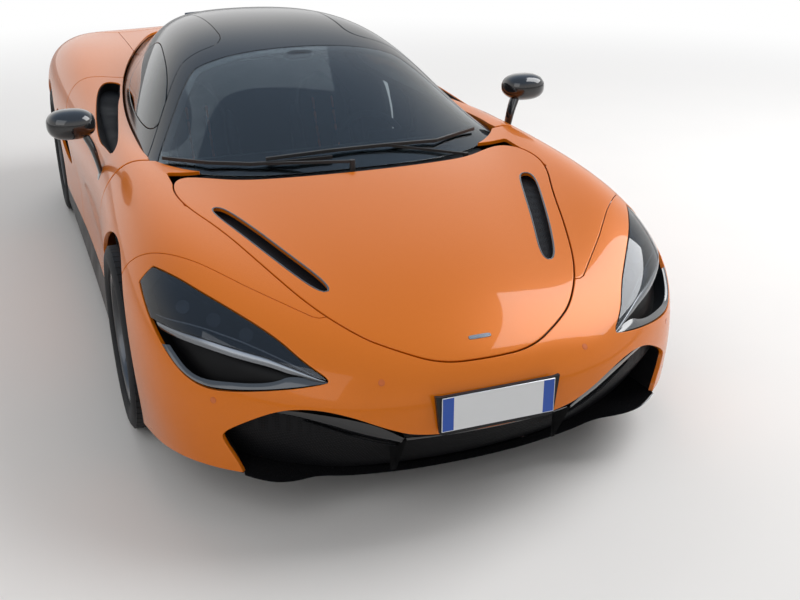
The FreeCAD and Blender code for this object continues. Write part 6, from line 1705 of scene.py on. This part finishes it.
# engine cover slats
slatShape = {"count": 13, "start": 1285.0, "step": 36.0, "halfWidth": 210.0}
slat = Piece("deckSlats")
rings = []
for t in np.linspace(-1, 1, 17):
    bow = 1 - t * t
    rings.append(np.array([(slatShape["halfWidth"] * t, q + 8 * (1 - bow), z + 9 * bow)
                           for q, z in ((-9, -4), (-8, -1), (6, 4.5), (9, 4), (9, 2), (-7, -5))]))
ringStrip(slat, rings, gloss)
end = slatShape["start"] + slatShape["step"] * (slatShape["count"] - 1)
first, last = (heightAt(canopyTree, 0, y) for y in (slatShape["start"], end))
rise = (last - first) / (slatShape["count"] - 1)
repeated(slat, "row", "car", Count=slatShape["count"], Start=(0, slatShape["start"] * .001, (first - 6) * .001),
         Step=(0, slatShape["step"] * .001, rise * .001),
         Shrink=.028, Finish=gloss)


# finishes for the CAD nodes that stay
kept = {"tub": carbon, "diffuser": carbon, "exhausts": titanium, "dashboard": suede, "steering_wheel": suede,
        "wheel_liners": plastic, "wipers": wiperBlack, "front_suspension": darkMetal, "rear_suspension": darkMetal}
kept.update(dict.fromkeys(("rear_frame", "engine_block", "rear_knuckles", "front_knuckle_left", "front_knuckle_right"),
                          castMetal))
for name, material in kept.items():
    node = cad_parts[name]
    if not node.material_slots:
        node.data.materials.append(material)
    for holder in node.material_slots:
        holder.material = material
print("kept nodes finished")

# stage, lights and camera
stage = {"floorHalf": 120.0, "fadeFrom": 3.2, "fadeTo": 9.0, "floorTone": (0.80, 0.79, 0.78), "worldStrength": 0.40,
         "overhead": (0.46, 0.60, 0.80), "keyPower": 455.0}
cameraView = {"place": (-1.217, -4.654, 1.889), "yaw": 20.9, "pitch": 23.1, "roll": 0.1, "focal": 1046.0}


def paleFloor():  # a pale floor that fades to plain white far from the car
    material = grainy("paleFloor", stage["floorTone"], 0.6, 0.8, 40.0, 2.0, strength=0.02, tone=0.02, specular=0.2)
    tree = material.node_tree
    place, length, fade, rays, both, white, mix = newNodes(
        tree, "ShaderNodeTexCoord", "ShaderNodeVectorMath", "ShaderNodeMapRange", "ShaderNodeLightPath",
        "ShaderNodeMath", "ShaderNodeEmission", "ShaderNodeMixShader")
    length.operation, both.operation, fade.interpolation_type = "LENGTH", "MULTIPLY", "SMOOTHSTEP"
    give(fade, From_Min=stage["fadeFrom"], From_Max=stage["fadeTo"])
    wire(tree, (place, "Object", length, 0), (length, "Value", fade, "Value"), (fade, "Result", both, 0),
         (rays, "Is Camera Ray", both, 1), (both, 0, mix, 0), (tree.nodes["Principled BSDF"], 0, mix, 1),
         (white, 0, mix, 2), (mix, 0, tree.nodes["Material Output"], "Surface"))
    return material


def makeStage():
    half = stage["floorHalf"]
    mesh = bpy.data.meshes.new("floor")
    mesh.from_pydata([(-half, -half, 0), (half, -half, 0), (half, half, 0), (-half, half, 0)], [], [(0, 1, 2, 3)])
    floor = newObject("floor", mesh)
    mesh.materials.append(paleFloor())
    floor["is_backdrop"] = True
    world = bpy.data.worlds.new("paleStudio")
    scene.world = world
    world.use_nodes = True
    tree = world.node_tree
    background = tree.nodes["Background"]
    rays, place, split, most, second, lit, strength, high = newNodes(
        tree, "ShaderNodeLightPath", "ShaderNodeTexCoord", "ShaderNodeSeparateXYZ", "ShaderNodeMath", "ShaderNodeMath",
        "ShaderNodeMath", "ShaderNodeMapRange", "ShaderNodeMapRange")
    tone = mixColors(tree, (1, 1, 1), stage["overhead"])  # a pale horizon, a softer tone overhead in reflections
    most.operation = second.operation = "MAXIMUM"
    high.interpolation_type, lit.operation = "SMOOTHSTEP", "MULTIPLY"
    give(strength, To_Min=stage["worldStrength"], To_Max=1.0)
    give(high, From_Min=0.25, From_Max=0.85)
    wire(tree, (rays, "Is Camera Ray", most, 0), (rays, "Is Glossy Ray", most, 1), (most, 0, second, 0),
         (rays, "Is Transmission Ray", second, 1), (second, 0, strength, "Value"),
         (strength, "Result", background, "Strength"), (place, "Generated", split, 0), (split, "Z", high, "Value"),
         (high, "Result", lit, 0), (rays, "Is Glossy Ray", lit, 1), (lit, 0, tone, "Factor"),
         (tone, colorOut, background, "Color"))
    for name, at, size, power in (("keyLight", (5.5, -1.0, 6.0), 5.0, stage["keyPower"]),
                                  ("fillLight", (-5.0, -5.0, 5.0), 6.0, stage["keyPower"] * .3),
                                  ("backLight", (0.0, 6.5, 6.0), 6.0, stage["keyPower"] * .4)):
        data = bpy.data.lights.new(name, "AREA")
        data.size, data.energy = size, power
        lamp = newObject(name, data)
        lamp.location = at
        lamp.visible_glossy = name != "backLight"  # no hard-edged panel mirrored in the windscreen
        lamp.rotation_euler = (Vector((0, 0, .4)) - Vector(at)).to_track_quat("-Z", "Y").to_euler()


def makeCamera():
    data = bpy.data.cameras.new("photoCamera")
    camera = newObject("photoCamera", data)
    data.sensor_width = 36.0
    data.lens = cameraView["focal"] / 800 * 36.0
    data.clip_end = 200.0
    camera.location = cameraView["place"]
    camera.rotation_mode = "XYZ"
    yaw, pitch, roll = (math.radians(cameraView[k]) for k in ("yaw", "pitch", "roll"))
    turn = Matrix.Rotation(-yaw, 3, "Z") @ Matrix.Rotation(math.pi / 2 - pitch, 3, "X")
    camera.rotation_euler = (turn @ Matrix.Rotation(-roll, 3, "Z")).to_euler()
    scene.camera = camera


makeStage()
makeCamera()
scene.view_settings.view_transform = "Standard"
{"cad": [list(corner) for corner in cadBox], "visual": [list(corner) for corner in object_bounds()]}
print("stage ready")
